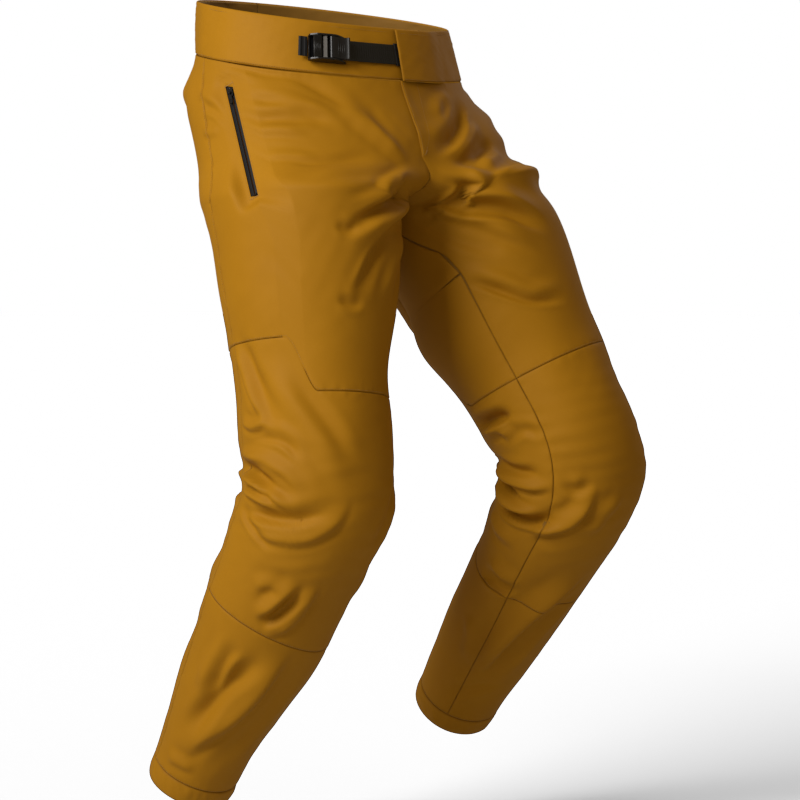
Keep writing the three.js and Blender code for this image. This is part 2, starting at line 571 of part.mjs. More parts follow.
// how the band flares downwards near the strap
const flareAt = (a) => {
  const hi = onBand(a, 0, strapP - 9);
  const lo = onBand(a, 0, strapP + 9);
  const d = lo.clone().sub(hi);
  const radial = onBand(a, 0).sub(arcCentre);
  radial.addScaledVector(arcUp, -radial.dot(arcUp)).normalize();
  return d.dot(radial) / -d.dot(arcUp);
};
const flare = (flareAt(-buckleShare) + flareAt(0)) / 2;
const strapPoint = (angle, h, out) => {
  const r = arcRadius - h * flare + out;
  return arcCentre
    .clone()
    .addScaledVector(flatX, r * Math.sin(angle))
    .addScaledVector(flatY, -r * Math.cos(angle))
    .addScaledVector(arcUp, h);
};
const buckleAngle = angleOf(arcPoints[0]);
const strapEndAngle = buckleAngle - 17 / arcRadius;
const tabAngle = angleOf(onBand(-0.022, 2));
const tailAngle = angleOf(arcPoints[2]);
function arcSlab(a0, a1, h0, h1, r0, r1, columns) {
  return sheet(
    (u, v) => strapPoint(lerp(a0, a1, v), lerp(h0, h1, u), r1),
    (u, v) => strapPoint(lerp(a0, a1, v), lerp(h0, h1, u), r0),
    1,
    columns,
  );
}
{
  const w = strapWidth / 2;
  const pitch = 3 / arcRadius;
  const outline = [];
  const ladderEnd = tabAngle - 1 / arcRadius;
  const count = Math.floor((ladderEnd - strapEndAngle) / pitch);
  // saw teeth along the outside
  for (let i = 0; i < count; i++) {
    const a = strapEndAngle + i * pitch;
    outline.push([a, 0.7], [a + 0.72 * pitch, 1.7]);
  }
  outline.push([strapEndAngle + count * pitch, 0.7], [ladderEnd + 3 / arcRadius, 0.7]);
  const position = [];
  const index = [];
  for (const h of [-w, w])
    for (const r of [0, 1]) for (const [a, out] of outline) {
      const q = strapPoint(a, h, r ? out : -0.9);
      position.push(q.x, q.y, q.z);
    }
  const n = outline.length;
  const id = (h, r, i) => (h * 2 + r) * n + i;
  const quad = (a, b, c, d) => index.push(a, b, c, a, c, d);
  for (let i = 0; i < n - 1; i++) {
    quad(id(0, 1, i), id(0, 1, i + 1), id(1, 1, i + 1), id(1, 1, i));
    quad(id(0, 0, i + 1), id(0, 0, i), id(1, 0, i), id(1, 0, i + 1));
    quad(id(0, 0, i), id(0, 0, i + 1), id(0, 1, i + 1), id(0, 1, i));
    quad(id(1, 0, i + 1), id(1, 0, i), id(1, 1, i), id(1, 1, i + 1));
  }
  quad(id(0, 0, 0), id(0, 1, 0), id(1, 1, 0), id(1, 0, 0));
  quad(id(0, 1, n - 1), id(0, 0, n - 1), id(1, 0, n - 1), id(1, 1, n - 1));
  const g3 = new THREE.BufferGeometry();
  g3.setAttribute("position", new THREE.Float32BufferAttribute(position, 3));
  g3.setIndex(index);
  add("ladder_strap", solidOf(g3), blackPlastic);
  add("strap_tab", arcSlab(ladderEnd + 3.3 / arcRadius, tailAngle, -w - 1.5, w + 1.5, -0.9, 0.9, 8), blackTape);
}
// buckle frame: x along the strap towards the middle front, y up the band, z out
const buckleFrame = (() => {
  const q = strapPoint(buckleAngle, 0, 0);
  const bandWay = onBand(-buckleShare + 0.02, 0).sub(onBand(-buckleShare - 0.02, 0)).normalize();
  const strapWay = strapPoint(buckleAngle + 0.01, 0, 0).sub(strapPoint(buckleAngle - 0.01, 0, 0)).normalize();
  const along = strapWay.lerp(bandWay, 0.4).normalize();
  const upBand = strapPoint(buckleAngle, 8, 0).sub(strapPoint(buckleAngle, -8, 0));
  upBand.addScaledVector(along, -upBand.dot(along)).normalize();
  const out = new THREE.Vector3().crossVectors(along, upBand).normalize();
  return new THREE.Matrix4().makeBasis(along, upBand, out).setPosition(q);
})();
// height of the band under the buckle, in the buckle's frame
const bandTop = (() => {
  const back = buckleFrame.clone().invert();
  let high = -1e9;
  for (let i = 0; i <= 40; i++)
    for (let j = 0; j <= 60; j++) {
      const q = bandPoint(-lerp(buckleShare - 0.08, buckleShare + 0.08, j / 60), lerp(-rise, bandSeam, i / 40), 0).applyMatrix4(back);
      if (Math.abs(q.x) < buckleLength / 2 && Math.abs(q.y) < buckleWidth / 2) high = Math.max(high, q.z);
    }
  return high;
})();
const inBuckle = (geometry) => placed(geometry, buckleFrame);
// an outline in (x, z) pushed across y
const side = (outline, y0, y1, holes = []) => {
  const shape = new THREE.Shape(outline.map(([a, b]) => new THREE.Vector2(a, b)));
  for (const [cx, cz, r] of holes) shape.holes.push(new THREE.Path().absarc(cx, cz, r, 0, Math.PI * 2, true));
  return new THREE.ExtrudeGeometry(shape, { depth: y1 - y0, bevelEnabled: false, curveSegments: 8 })
    .applyMatrix4(new THREE.Matrix4().makeBasis(new THREE.Vector3(1, 0, 0), new THREE.Vector3(0, 0, 1), new THREE.Vector3(0, -1, 0)))
    .translate(0, y1, 0);
};
const rodY = (radius, x, z, y0, y1, sides = 20) =>
  new THREE.CylinderGeometry(radius, radius, y1 - y0, sides).translate(x, (y0 + y1) / 2, z);
{
  const L = buckleLength / 2;
  const W = buckleWidth / 2;
  const wall = 2;
  const inner = W - wall;
  const floor = bandTop + 0.35;
  const floorTop = floor + 1.4;
  const leverX = 3;
  const leverZ = 5.6;
  const pawlX = -11;
  const pawlZ = 5.2;
  const wallSide = [
    [-L, floor], [L, floor], [L, floorTop + 1.4], [L - 6, 3.2], [leverX + 5, 8.4], [leverX - 4, 8.6], [pawlX - 3, 7.8], [-L, 2.2],
  ];
  const holes = [[leverX, leverZ, 1.35], [pawlX, pawlZ, 1.1]];
  add(
    "buckle_base",
    join(
      inBuckle(box(-L, L - 4, -W + 0.4, W - 0.4, floor, floorTop)),
      inBuckle(side(wallSide, -W, -inner, holes)),
      inBuckle(side(wallSide, inner, W, holes)),
    ),
    blackPlastic,
  );
  add("lever_pin", inBuckle(rodY(1.1, leverX, leverZ, -W + 0.2, W - 0.2, 16)), steel);
  add("pawl_pin", inBuckle(rodY(0.85, pawlX, pawlZ, -W + 0.2, W - 0.2, 14)), steel);
  // lever: a boss on the pin, a drive nose under it and a handle that rises to a lip
  const boss = [];
  for (let i = 0; i <= 8; i++) {
    const a = Math.PI * (0.55 + (0.9 * i) / 8);
    boss.push([leverX + 2.7 * Math.cos(a), leverZ + 2.7 * Math.sin(a)]);
  }
  const lever = [
    ...boss,
    [leverX - 0.6, 2.2], [leverX + 1.6, 2.6], [leverX + 4, 4], [leverX + 12, 4.3], [leverX + 19, 5.6], [leverX + 21.5, 8.4],
    [leverX + 19.6, 8.8], [leverX + 17, 7.2], [leverX + 9, 6.4], [leverX + 3, 8.4],
  ];
  add("ratchet_lever", inBuckle(side(lever, -inner + 0.5, inner - 0.5, [[leverX, leverZ, 1.4]])), blackPlastic);
  // hold pawl with its release tab
  const pawl = [
    [pawlX - 8.5, 7.6], [pawlX - 9, 6.2], [pawlX - 3, 4.4], [pawlX - 1.2, 3.2], [pawlX + 3.6, 2.5], [pawlX + 4.4, 2.9], [pawlX + 2.4, 5.6], [pawlX + 1, 7.3], [pawlX - 3, 8],
  ];
  add("release_pawl", inBuckle(side(pawl, -inner + 0.5, inner - 0.5, [[pawlX, pawlZ, 1.15]])), blackPlastic);
  // leaf spring between the walls, pressing on the pawl's nose
  add("pawl_spring", inBuckle(side([[-3.2, 6.9], [-3.2, 6.4], [pawlX + 3.6, 4.9], [pawlX + 3.6, 5.4]], -inner + 0.3, inner - 0.3)), steel);
  // webbing that sews the buckle to the band
  const c = buckleAngle;
  const r = arcRadius;
  add(
    "buckle_webbing",
    arcSlab(c - (L + 12) / r, c - (L + 1.2) / r, -strapWidth / 2, strapWidth / 2, -4.6, -3.4, 3),
    blackTape,
  );
}

export default parts;
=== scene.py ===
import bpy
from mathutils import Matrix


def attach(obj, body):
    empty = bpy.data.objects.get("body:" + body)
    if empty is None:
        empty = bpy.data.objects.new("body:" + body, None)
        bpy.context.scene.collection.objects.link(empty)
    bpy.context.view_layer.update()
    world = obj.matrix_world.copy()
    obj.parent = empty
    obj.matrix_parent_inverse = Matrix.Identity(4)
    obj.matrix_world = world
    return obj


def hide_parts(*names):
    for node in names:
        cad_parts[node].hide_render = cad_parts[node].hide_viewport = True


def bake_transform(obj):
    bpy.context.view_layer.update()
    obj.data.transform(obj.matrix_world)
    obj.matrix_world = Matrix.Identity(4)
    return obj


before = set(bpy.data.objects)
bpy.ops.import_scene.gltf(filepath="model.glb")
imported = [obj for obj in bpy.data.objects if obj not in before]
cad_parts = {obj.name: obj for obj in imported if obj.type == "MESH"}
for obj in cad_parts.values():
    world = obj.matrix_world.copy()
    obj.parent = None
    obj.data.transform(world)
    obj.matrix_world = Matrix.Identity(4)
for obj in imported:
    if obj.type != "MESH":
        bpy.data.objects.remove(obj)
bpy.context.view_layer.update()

import math
import bmesh
import bpy
import numpy as np
from mathutils import Vector

scene = bpy.context.scene

# ---- camera, light and floor ----
studio = {
    "azimuth": -42.5, "elevation": 2.4, "distance": 3.4, "viewHeight": 0.955,
    "target": (0.020, -0.020, -0.4455), "floorHeight": -1.0, "floorSize": 60.0,
    "keyPower": 70, "fillPower": 2.0, "rimPower": 5, "surround": 0.30, "surroundColour": (1.0, 0.78, 0.45, 1),
}


def makeCamera():
    a, e = math.radians(studio["azimuth"]), math.radians(studio["elevation"])
    back = Vector((math.sin(a) * math.cos(e), -math.cos(a) * math.cos(e), math.sin(e)))
    data = bpy.data.cameras.new("camera")
    data.sensor_width = 36
    data.lens = 36 * studio["distance"] / studio["viewHeight"]
    data.clip_start, data.clip_end = 0.05, 60
    camera = bpy.data.objects.new("camera", data)
    scene.collection.objects.link(camera)
    camera.location = Vector(studio["target"]) + back * studio["distance"]
    camera.rotation_euler = (-back).to_track_quat("-Z", "Y").to_euler()
    scene.camera = camera
    return back


def makeLight(name, place, aim, size, power, colour):
    data = bpy.data.lights.new(name, "AREA")
    data.shape = "SQUARE"
    data.size = size
    data.energy = power
    data.color = colour
    light = bpy.data.objects.new(name, data)
    scene.collection.objects.link(light)
    light.location = place
    light.rotation_euler = (Vector(place) - Vector(aim)).to_track_quat("Z", "Y").to_euler()


towardCamera = makeCamera()
azimuth = math.radians(studio["azimuth"])
lookLeft = Vector((-math.cos(azimuth), -math.sin(azimuth), 0))
middle = Vector((0, 0, -0.42))
high = Vector((0, 0, 1))
lights = {
    "keyLight": (towardCamera * 1.7 + lookLeft * 1.5 + high * 1.25, 1.3, studio["keyPower"], (1, 0.985, 0.96)),
    "fillLight": (towardCamera * 2.2 - lookLeft * 1.8 + high * 0.2, 1.8, studio["fillPower"], (1, 1, 1)),
    "rimLight": (towardCamera * -1.6 - lookLeft * 1.2 + high * 1.4, 1.2, studio["rimPower"], (1, 1, 1)),
}
for name, (place, size, power, colour) in lights.items():
    makeLight(name, middle + place, middle, size, power, colour)


# ---- shader maths ----
class Sock:
    # one output socket; sums and products on it add Math nodes
    def __init__(self, graph, socket):
        self.graph, self.socket = graph, socket

    def with_(self, operation, *others, clamp=False):
        node = self.graph.nodes.new("ShaderNodeMath")
        node.operation, node.use_clamp = operation, clamp
        for i, value in enumerate(others):
            self.graph.feed(node.inputs[i], value)
        return Sock(self.graph, node.outputs[0])

    def __add__(self, other): return self.with_("ADD", self, other)
    def __sub__(self, other): return self.with_("SUBTRACT", self, other)
    def __mul__(self, other): return self.with_("MULTIPLY", self, other)
    def sine(self): return self.with_("SINE", self)
    def clamped(self): return self.with_("ADD", self, 0.0, clamp=True)


class Graph:
    def __init__(self, name):
        self.material = bpy.data.materials.new(name)
        self.material.use_nodes = True
        tree = self.material.node_tree
        self.nodes, self.links = tree.nodes, tree.links
        self.nodes.clear()

    def feed(self, socket, value):
        if isinstance(value, Sock):
            self.links.new(value.socket, socket)
        else:
            socket.default_value = value

    # any node: its settings first, then the values or links of its sockets
    def add(self, kind, settings=None, out=0, **sockets):
        node = self.nodes.new(kind)
        for key, value in (settings or {}).items():
            setattr(node, key, value)
        for key, value in sockets.items():
            name = key.replace("_", " ")
            socket = node.inputs[int(name[1:])] if name[1:].isdigit() else node.inputs[name]
            self.feed(socket, value)
        return Sock(self, node.outputs[out])

    def finish(self, colour, roughness, normal=None, **constants):
        shader = self.nodes.new("ShaderNodeBsdfPrincipled")
        self.feed(shader.inputs["Base Color"], colour)
        self.feed(shader.inputs["Roughness"], roughness)
        if normal:
            self.feed(shader.inputs["Normal"], normal)
        for key, value in constants.items():
            shader.inputs[key.replace("_", " ")].default_value = value
        output = self.nodes.new("ShaderNodeOutputMaterial")
        self.links.new(shader.outputs[0], output.inputs[0])
        return self.material


def mix(graph, factor, a, b):
    node = graph.nodes.new("ShaderNodeMix")
    node.data_type = "RGBA"
    graph.feed(node.inputs["Factor"], factor)
    graph.feed(node.inputs[6], a)
    graph.feed(node.inputs[7], b)
    return Sock(graph, node.outputs[2])


# ---- finishes ----
# the seam colour below is painted shade: the cloth darkens towards it along the seams, where shade falls between
# panels
shellLook = {
    "light": (0.355, 0.160, 0.0040, 1), "deep": (0.305, 0.134, 0.0030, 1), "seamShadeColour": (0.11, 0.042, 0.002, 1),
    "roughness": 0.66, "yarn": 0.0011, "weaveDepth": 0.00004, "sheen": 0.02,
}


def wovenCloth(name, look):
    g = Graph(name)
    place = g.add("ShaderNodeTexCoord", out=3)
    laid = g.add("ShaderNodeUVMap", {"uv_map": "clothMap"})
    apart = g.nodes.new("ShaderNodeSeparateXYZ")
    g.feed(apart.inputs[0], laid)
    across, along = Sock(g, apart.outputs[0]), Sock(g, apart.outputs[1])
    turn = 2 * math.pi / look["yarn"]
    twill = ((across + along) * turn).sine() * 0.5
    twill = twill + (across * turn * 2).sine() * 0.25 + (along * turn * 2).sine() * 0.25
    cloudy = g.add("ShaderNodeTexNoise", Vector=place, Scale=9.0, Detail=3.0, Roughness=0.55)
    slub = g.add("ShaderNodeTexNoise", Vector=place, Scale=420.0, Detail=2.0, Roughness=0.6)
    near = g.add("ShaderNodeAttribute", {"attribute_name": "seamShadeMask"}, out=2)
    tone = mix(g, (cloudy * 1.6 - 0.3).clamped(), look["deep"], look["light"])
    tone = mix(g, (slub * 0.5 + twill * 0.07 - 0.16).clamped(), tone, look["deep"])
    # painted shade: the colour darkens towards the seam colour where the seam mask is high, along seams and piece
    # ends
    tone = mix(g, (near * 0.38).clamped(), tone, look["seamShadeColour"])
    rough = (cloudy * 0.10 + slub * 0.08 + (look["roughness"] - 0.09)).clamped()
    height = twill * 0.55 + slub * 0.45
    bump = g.add("ShaderNodeBump", Strength=0.45, Distance=look["weaveDepth"], Height=height)
    return g.finish(
        tone, rough, bump, Specular_IOR_Level=0.14, Sheen_Weight=look["sheen"],
        Sheen_Roughness=0.45, Sheen_Tint=(1, 0.70, 0.25, 1))


def plainFinish(name, colour, lighter, roughness, grain, depth, scale, more):
    g = Graph(name)
    place = g.add("ShaderNodeTexCoord", out=3)
    fine = g.add("ShaderNodeTexNoise", Vector=place, Scale=scale, Detail=3.0, Roughness=0.6)
    broad = g.add("ShaderNodeTexNoise", Vector=place, Scale=26.0, Detail=2.0, Roughness=0.5)
    tone = mix(g, (broad * 0.8 + fine * grain - 0.25).clamped(), colour, lighter)
    rough = (broad * 0.14 + fine * 0.12 + (roughness - 0.13)).clamped()
    bump = g.add("ShaderNodeBump", Strength=0.5, Distance=depth, Height=fine)
    return g.finish(tone, rough, bump, **more)


# its seam colour is painted shade as well, laid along the seams
liningLook = {
    "light": (0.24, 0.12, 0.018, 1), "deep": (0.17, 0.083, 0.012, 1), "seamShadeColour": (0.10, 0.05, 0.008, 1),
    "roughness": 0.72, "yarn": 0.0016, "weaveDepth": 0.0001, "sheen": 0.25,
}
# name, colour, lighter colour, roughness, grain, bump depth, noise scale
plainLooks = {
    "thread": (
        "tonalThread", (0.235, 0.108, 0.010, 1), (0.33, 0.16, 0.02, 1), 0.55, 0.8, 0.00008, 900,
        {"Sheen_Weight": 0.2}),
    "webbing": (
        "blackWebbing", (0.0025, 0.0025, 0.003, 1), (0.006, 0.006, 0.0075, 1), 0.66, 0.9, 0.0001, 1500,
        {"Specular_IOR_Level": 0.28}),
    "plastic": (
        "blackPlastic", (0.0035, 0.0035, 0.0042, 1), (0.007, 0.007, 0.008, 1), 0.34, 0.3, 0.00002, 700,
        {"Specular_IOR_Level": 0.38}),
    "metal": (
        "blackMetal", (0.012, 0.012, 0.013, 1), (0.03, 0.03, 0.032, 1), 0.34, 0.5, 0.00001, 900, {"Metallic": 0.75}),
    "steel": (
        "springSteel", (0.16, 0.16, 0.165, 1), (0.26, 0.26, 0.265, 1), 0.34, 0.5, 0.00001, 1200, {"Metallic": 1.0}),
}
finishes = {"shell": wovenCloth("shellCloth", shellLook), "lining": wovenCloth("liningCloth", liningLook)}
finishes.update({name: plainFinish(*look) for name, look in plainLooks.items()})
print("finishes made")


def makeFloor():
    size = studio["floorSize"]
    z = studio["floorHeight"]
    mesh = bpy.data.meshes.new("studioFloor")
    mesh.from_pydata([(-size, -size, z), (size, -size, z), (size, size, z), (-size, size, z)], [], [(0, 1, 2, 3)])
    floor = bpy.data.objects.new("studioFloor", mesh)
    scene.collection.objects.link(floor)
    g = Graph("paleFloor")
    g.finish((0.55, 0.55, 0.55, 1), 0.9, Specular_IOR_Level=0.1)
    mesh.materials.append(g.material)
    floor.is_shadow_catcher = True  # the floor stays as pale as the backdrop
    world = bpy.data.worlds.new("studioWorld")
    scene.world = world
    world.use_nodes = True
    nodes, links = world.node_tree.nodes, world.node_tree.links
    nodes.clear()
    rays = nodes.new("ShaderNodeLightPath")
    dim, bright = nodes.new("ShaderNodeBackground"), nodes.new("ShaderNodeBackground")
    dim.inputs[0].default_value = studio["surroundColour"]
    dim.inputs[1].default_value = studio["surround"]
    bright.inputs[0].default_value = (1, 1, 1, 1)
    bright.inputs[1].default_value = 1.0
    joined, output = nodes.new("ShaderNodeMixShader"), nodes.new("ShaderNodeOutputWorld")
    links.new(rays.outputs["Is Camera Ray"], joined.inputs[0])
    links.new(dim.outputs[0], joined.inputs[1])
    links.new(bright.outputs[0], joined.inputs[2])
    links.new(joined.outputs[0], output.inputs[0])
    scene.view_settings.view_transform = "Standard"


makeFloor()

# ---- the garment's form: path p down from the crotch level, share t round from the front ----
garment = {
    "rise": 0.215, "inseam": 0.745, "kneeDrop": 0.335, "bendZone": 0.170,
    "hipLevel": -0.120, "hipZone": 0.180, "legX": 0.107,
    "bandSeam": -0.155, "cuffSeam": 0.719, "outSeam": 0.565, "cloth": 0.0011,
    "kneeReach": 0.075, "middleGap": 0.00025, "crotchZone": 0.02,
}
girth = {
    "level": (-0.215, -0.155, -0.100, -0.050, 0, 0.100, 0.220, 0.335, 0.450, 0.580, 0.680, 0.745),
    "half": (0.166, 0.176, 0.187, 0.166, 0.110, 0.1035, 0.0895, 0.0855, 0.079, 0.066, 0.0555, 0.050),
    "centre": (0, 0, 0.004, 0.036, 0.110, 0.107, 0.103, 0.103, 0.103, 0.103, 0.103, 0.103),
    "front": (0.130, 0.133, 0.134, 0.123, 0.118, 0.106, 0.0925, 0.0935, 0.084, 0.0695, 0.0555, 0.0485),
    "back": (0.129, 0.139, 0.151, 0.148, 0.130, 0.108, 0.093, 0.088, 0.079, 0.066, 0.0565, 0.051),
    "setBack": (0.095, 0.082, 0.056, 0.029, 0, 0, 0, 0, 0, 0, 0, 0),
    "power": (2.04, 2.04, 2.1, 2.06, 2, 2, 2.05, 2.1, 2, 2, 2, 2),
    "lean": (0.19, 0.17, 0.115, 0.045, 0, 0, 0, 0, 0, 0, 0, 0),
}
legs = {
    "right": {"label": "right", "side": -1, "thigh": 8, "splay": 5.5, "knee": 37, "shinSplay": 5},
    "left": {"label": "left", "side": 1, "thigh": 24, "splay": 14.5, "knee": 61, "shinSplay": 5.5},
}


def ease(x):
    c = np.clip(x, 0.0, 1.0)
    return c * c * (3 - 2 * c)


def cubic(t, h, y0, y1, m0, m1):
    ends = (1 + 2 * t) * (1 - t) ** 2 * y0 + t * (1 - t) ** 2 * h * m0
    return ends + t * t * (3 - 2 * t) * y1 + t * t * (t - 1) * h * m1


def through(xs, ys, x):
    # monotone cubic through the points
    xs, ys = np.array(xs, float), np.array(ys, float)
    x = np.clip(x, xs[0], xs[-1])
    h = np.diff(xs)
    d = np.diff(ys) / h
    m = np.zeros(len(xs))
    m[0], m[-1] = d[0], d[-1]
    for i in range(1, len(xs) - 1):
        if d[i - 1] * d[i] > 0:
            a, b = 2 * h[i] + h[i - 1], h[i] + 2 * h[i - 1]
            m[i] = (a + b) / (a / d[i - 1] + b / d[i])
    k = np.clip(np.searchsorted(xs, x, side="right") - 1, 0, len(xs) - 2)
    t = (x - xs[k]) / h[k]
    return cubic(t, h[k], ys[k], ys[k + 1], m[k], m[k + 1])


def at(name, p):
    return through(girth["level"], girth[name], p)


def legAxis(leg):
    # the bent centre line of one leg and the frame that travels on it
    steps = 420
    s = np.linspace(garment["hipLevel"], garment["inseam"], steps + 1)
    hips = ease((s - garment["hipLevel"]) / garment["hipZone"])
    knee = ease((s - garment["kneeDrop"] + garment["bendZone"] / 2) / garment["bendZone"])
    pitch = np.radians(leg["thigh"] * hips - leg["knee"] * knee)
    roll = np.radians(leg["splay"] * hips + (leg["shinSplay"] - leg["splay"]) * knee)
    d = legDown(leg, pitch, roll)
    start = np.array([leg["side"] * garment["legX"], 0, -(garment["hipLevel"] + garment["rise"])])
    c = start + np.concatenate([np.zeros((1, 3)), np.cumsum((d[1:] + d[:-1]) / 2 * (s[1] - s[0]), 0)])
    leg.update(s=s, c=c, pitch=pitch, roll=roll)


def legDown(leg, pitch, roll):
    return np.stack([leg["side"] * np.sin(roll) * np.cos(pitch), -np.sin(pitch), -np.cos(pitch) * np.cos(roll)], -1)


for leg in legs.values():
    legAxis(leg)

# places where the cloth hangs fuller or lies flatter: path, share, reach along, reach round, amount outwards
fuller = {
    "right": (
        (-0.100, 0.69, 0.042, 0.10, 0.011), (-0.015, 0.66, 0.038, 0.09, 0.005), (0.200, 0.12, 0.065, 0.09, -0.008),
        (0.345, 0.13, 0.030, 0.09, 0.008), (0.335, 0.61, 0.045, 0.08, -0.008), (0.445, 0.61, 0.045, 0.09, -0.005),
        (0.530, 0.14, 0.075, 0.10, 0.008)),
    "left": (
        (-0.095, 0.30, 0.036, 0.09, 0.015), (0.016, 0.36, 0.032, 0.075, -0.012), (0.148, 0.88, 0.050, 0.10, 0.013),
        (0.275, 0.37, 0.038, 0.09, -0.005), (0.345, 0.36, 0.028, 0.09, 0.006), (0.330, 0.88, 0.032, 0.09, -0.006),
        (0.465, 0.87, 0.100, 0.11, -0.014)),
}


def fullness(leg, p, t):
    total = np.zeros(p.shape)
    for p0, t0, along, around, amount in fuller[leg["label"]]:
        gap = np.abs(t - t0)
        total += amount * np.exp(-(((p - p0) / along) ** 2) - (np.minimum(gap, 1 - gap) / around) ** 2)
    return total * ease((p - garment["bandSeam"]) / 0.030) * (1 - ease((p - 0.690) / 0.029))


def legFrame(leg, p):
    pitch, roll = np.interp(p, leg["s"], leg["pitch"]), np.interp(p, leg["s"], leg["roll"])
    c = np.stack([np.interp(p, leg["s"], leg["c"][:, k]) for k in range(3)], -1)
    d = legDown(leg, pitch, roll)
    u = np.stack([np.cos(roll), 0 * roll, leg["side"] * np.sin(roll)], -1)
    v = np.cross(u, d)
    v /= np.linalg.norm(v, axis=-1, keepdims=True)
    v = np.where(v[..., 1:2] < 0, -v, v)
    return c, u, v, -d


def formPoint(leg, p, t, depth=0.0):
    p, t, depth = (np.array(x, float) for x in np.broadcast_arrays(p, t, depth))
    t = np.where(t < 0, np.where(p > 0, t + 1, 0), t)
    t = np.where(t > 1, np.where(p > 0, t - 1, 1), t)
    side, rise = leg["side"], garment["rise"]
    depth = depth - fullness(leg, p, t)
    half, cx, e = at("half", p), at("centre", p), 2 / at("power", p)
    w = half - depth
    end = np.where(p >= 0, np.pi, np.arccos(-np.minimum(1, np.maximum(cx / half, 0) ** (1 / e))))
    phi = end * (1 - 2 * t)
    cs, sn = np.cos(phi), np.sin(phi)
    x = cx + np.sign(cs) * np.abs(cs) ** e * w
    x = np.where(p < garment["crotchZone"], np.maximum(x, garment["middleGap"]), x)
    b = np.where(sn > 0, at("front", p), at("back", p)) - depth
    y = at("setBack", p) - b * np.sign(sn) * np.abs(sn) ** e
    q = np.stack([side * x, y, -(p + rise) + at("lean", p) * y], -1)
    c, u, v, up = legFrame(leg, np.maximum(p, garment["hipLevel"]))
    local = q - np.stack([side * garment["legX"] + 0 * p, 0 * p, -(p + rise)], -1)
    bent = c + u * local[..., 0:1] + v * local[..., 1:2] + up * local[..., 2:3]
    hold = ease(x / 0.09)
    share = np.where(p < garment["hipLevel"], 0, hold + (1 - hold) * ease(p / 0.1))
    out = q + (bent - q) * share[..., None]
    return keepSide(leg, p, out)


def keepSide(leg, p, points):
    # above the crotch neither leg's cloth crosses the middle plane
    points = points.copy()
    over = (p < garment["crotchZone"]) & (leg["side"] * points[..., 0] < garment["middleGap"])
    points[..., 0] = np.where(over, leg["side"] * garment["middleGap"], points[..., 0])
    return points


def formNormal(leg, p, t, here):
    # outward direction of the plain form
    p, t = (np.array(x, float) for x in np.broadcast_arrays(p, t))
    inside = np.clip(t, 0.002, 0.998)
    down = formPoint(leg, p + 0.0015, t) - formPoint(leg, p - 0.0015, t)
    round_ = formPoint(leg, p, inside + 0.002) - formPoint(leg, p, inside - 0.002)
    n = np.cross(down, round_)
    n /= np.maximum(np.linalg.norm(n, axis=-1, keepdims=True), 1e-12)
    away = np.sum(n * (here - formPoint(leg, p, t, 0.010)), axis=-1)
    return np.where(away[..., None] < 0, -n, n)


def sheetNormal(points, like):
    n = np.cross(np.gradient(points, axis=0), np.gradient(points, axis=1))
    size = np.linalg.norm(n, axis=-1, keepdims=True)
    n = np.where(size > 1e-13, n / np.maximum(size, 1e-13), like)
    return np.where(np.sum(n * like, axis=-1, keepdims=True) < 0, -n, n)


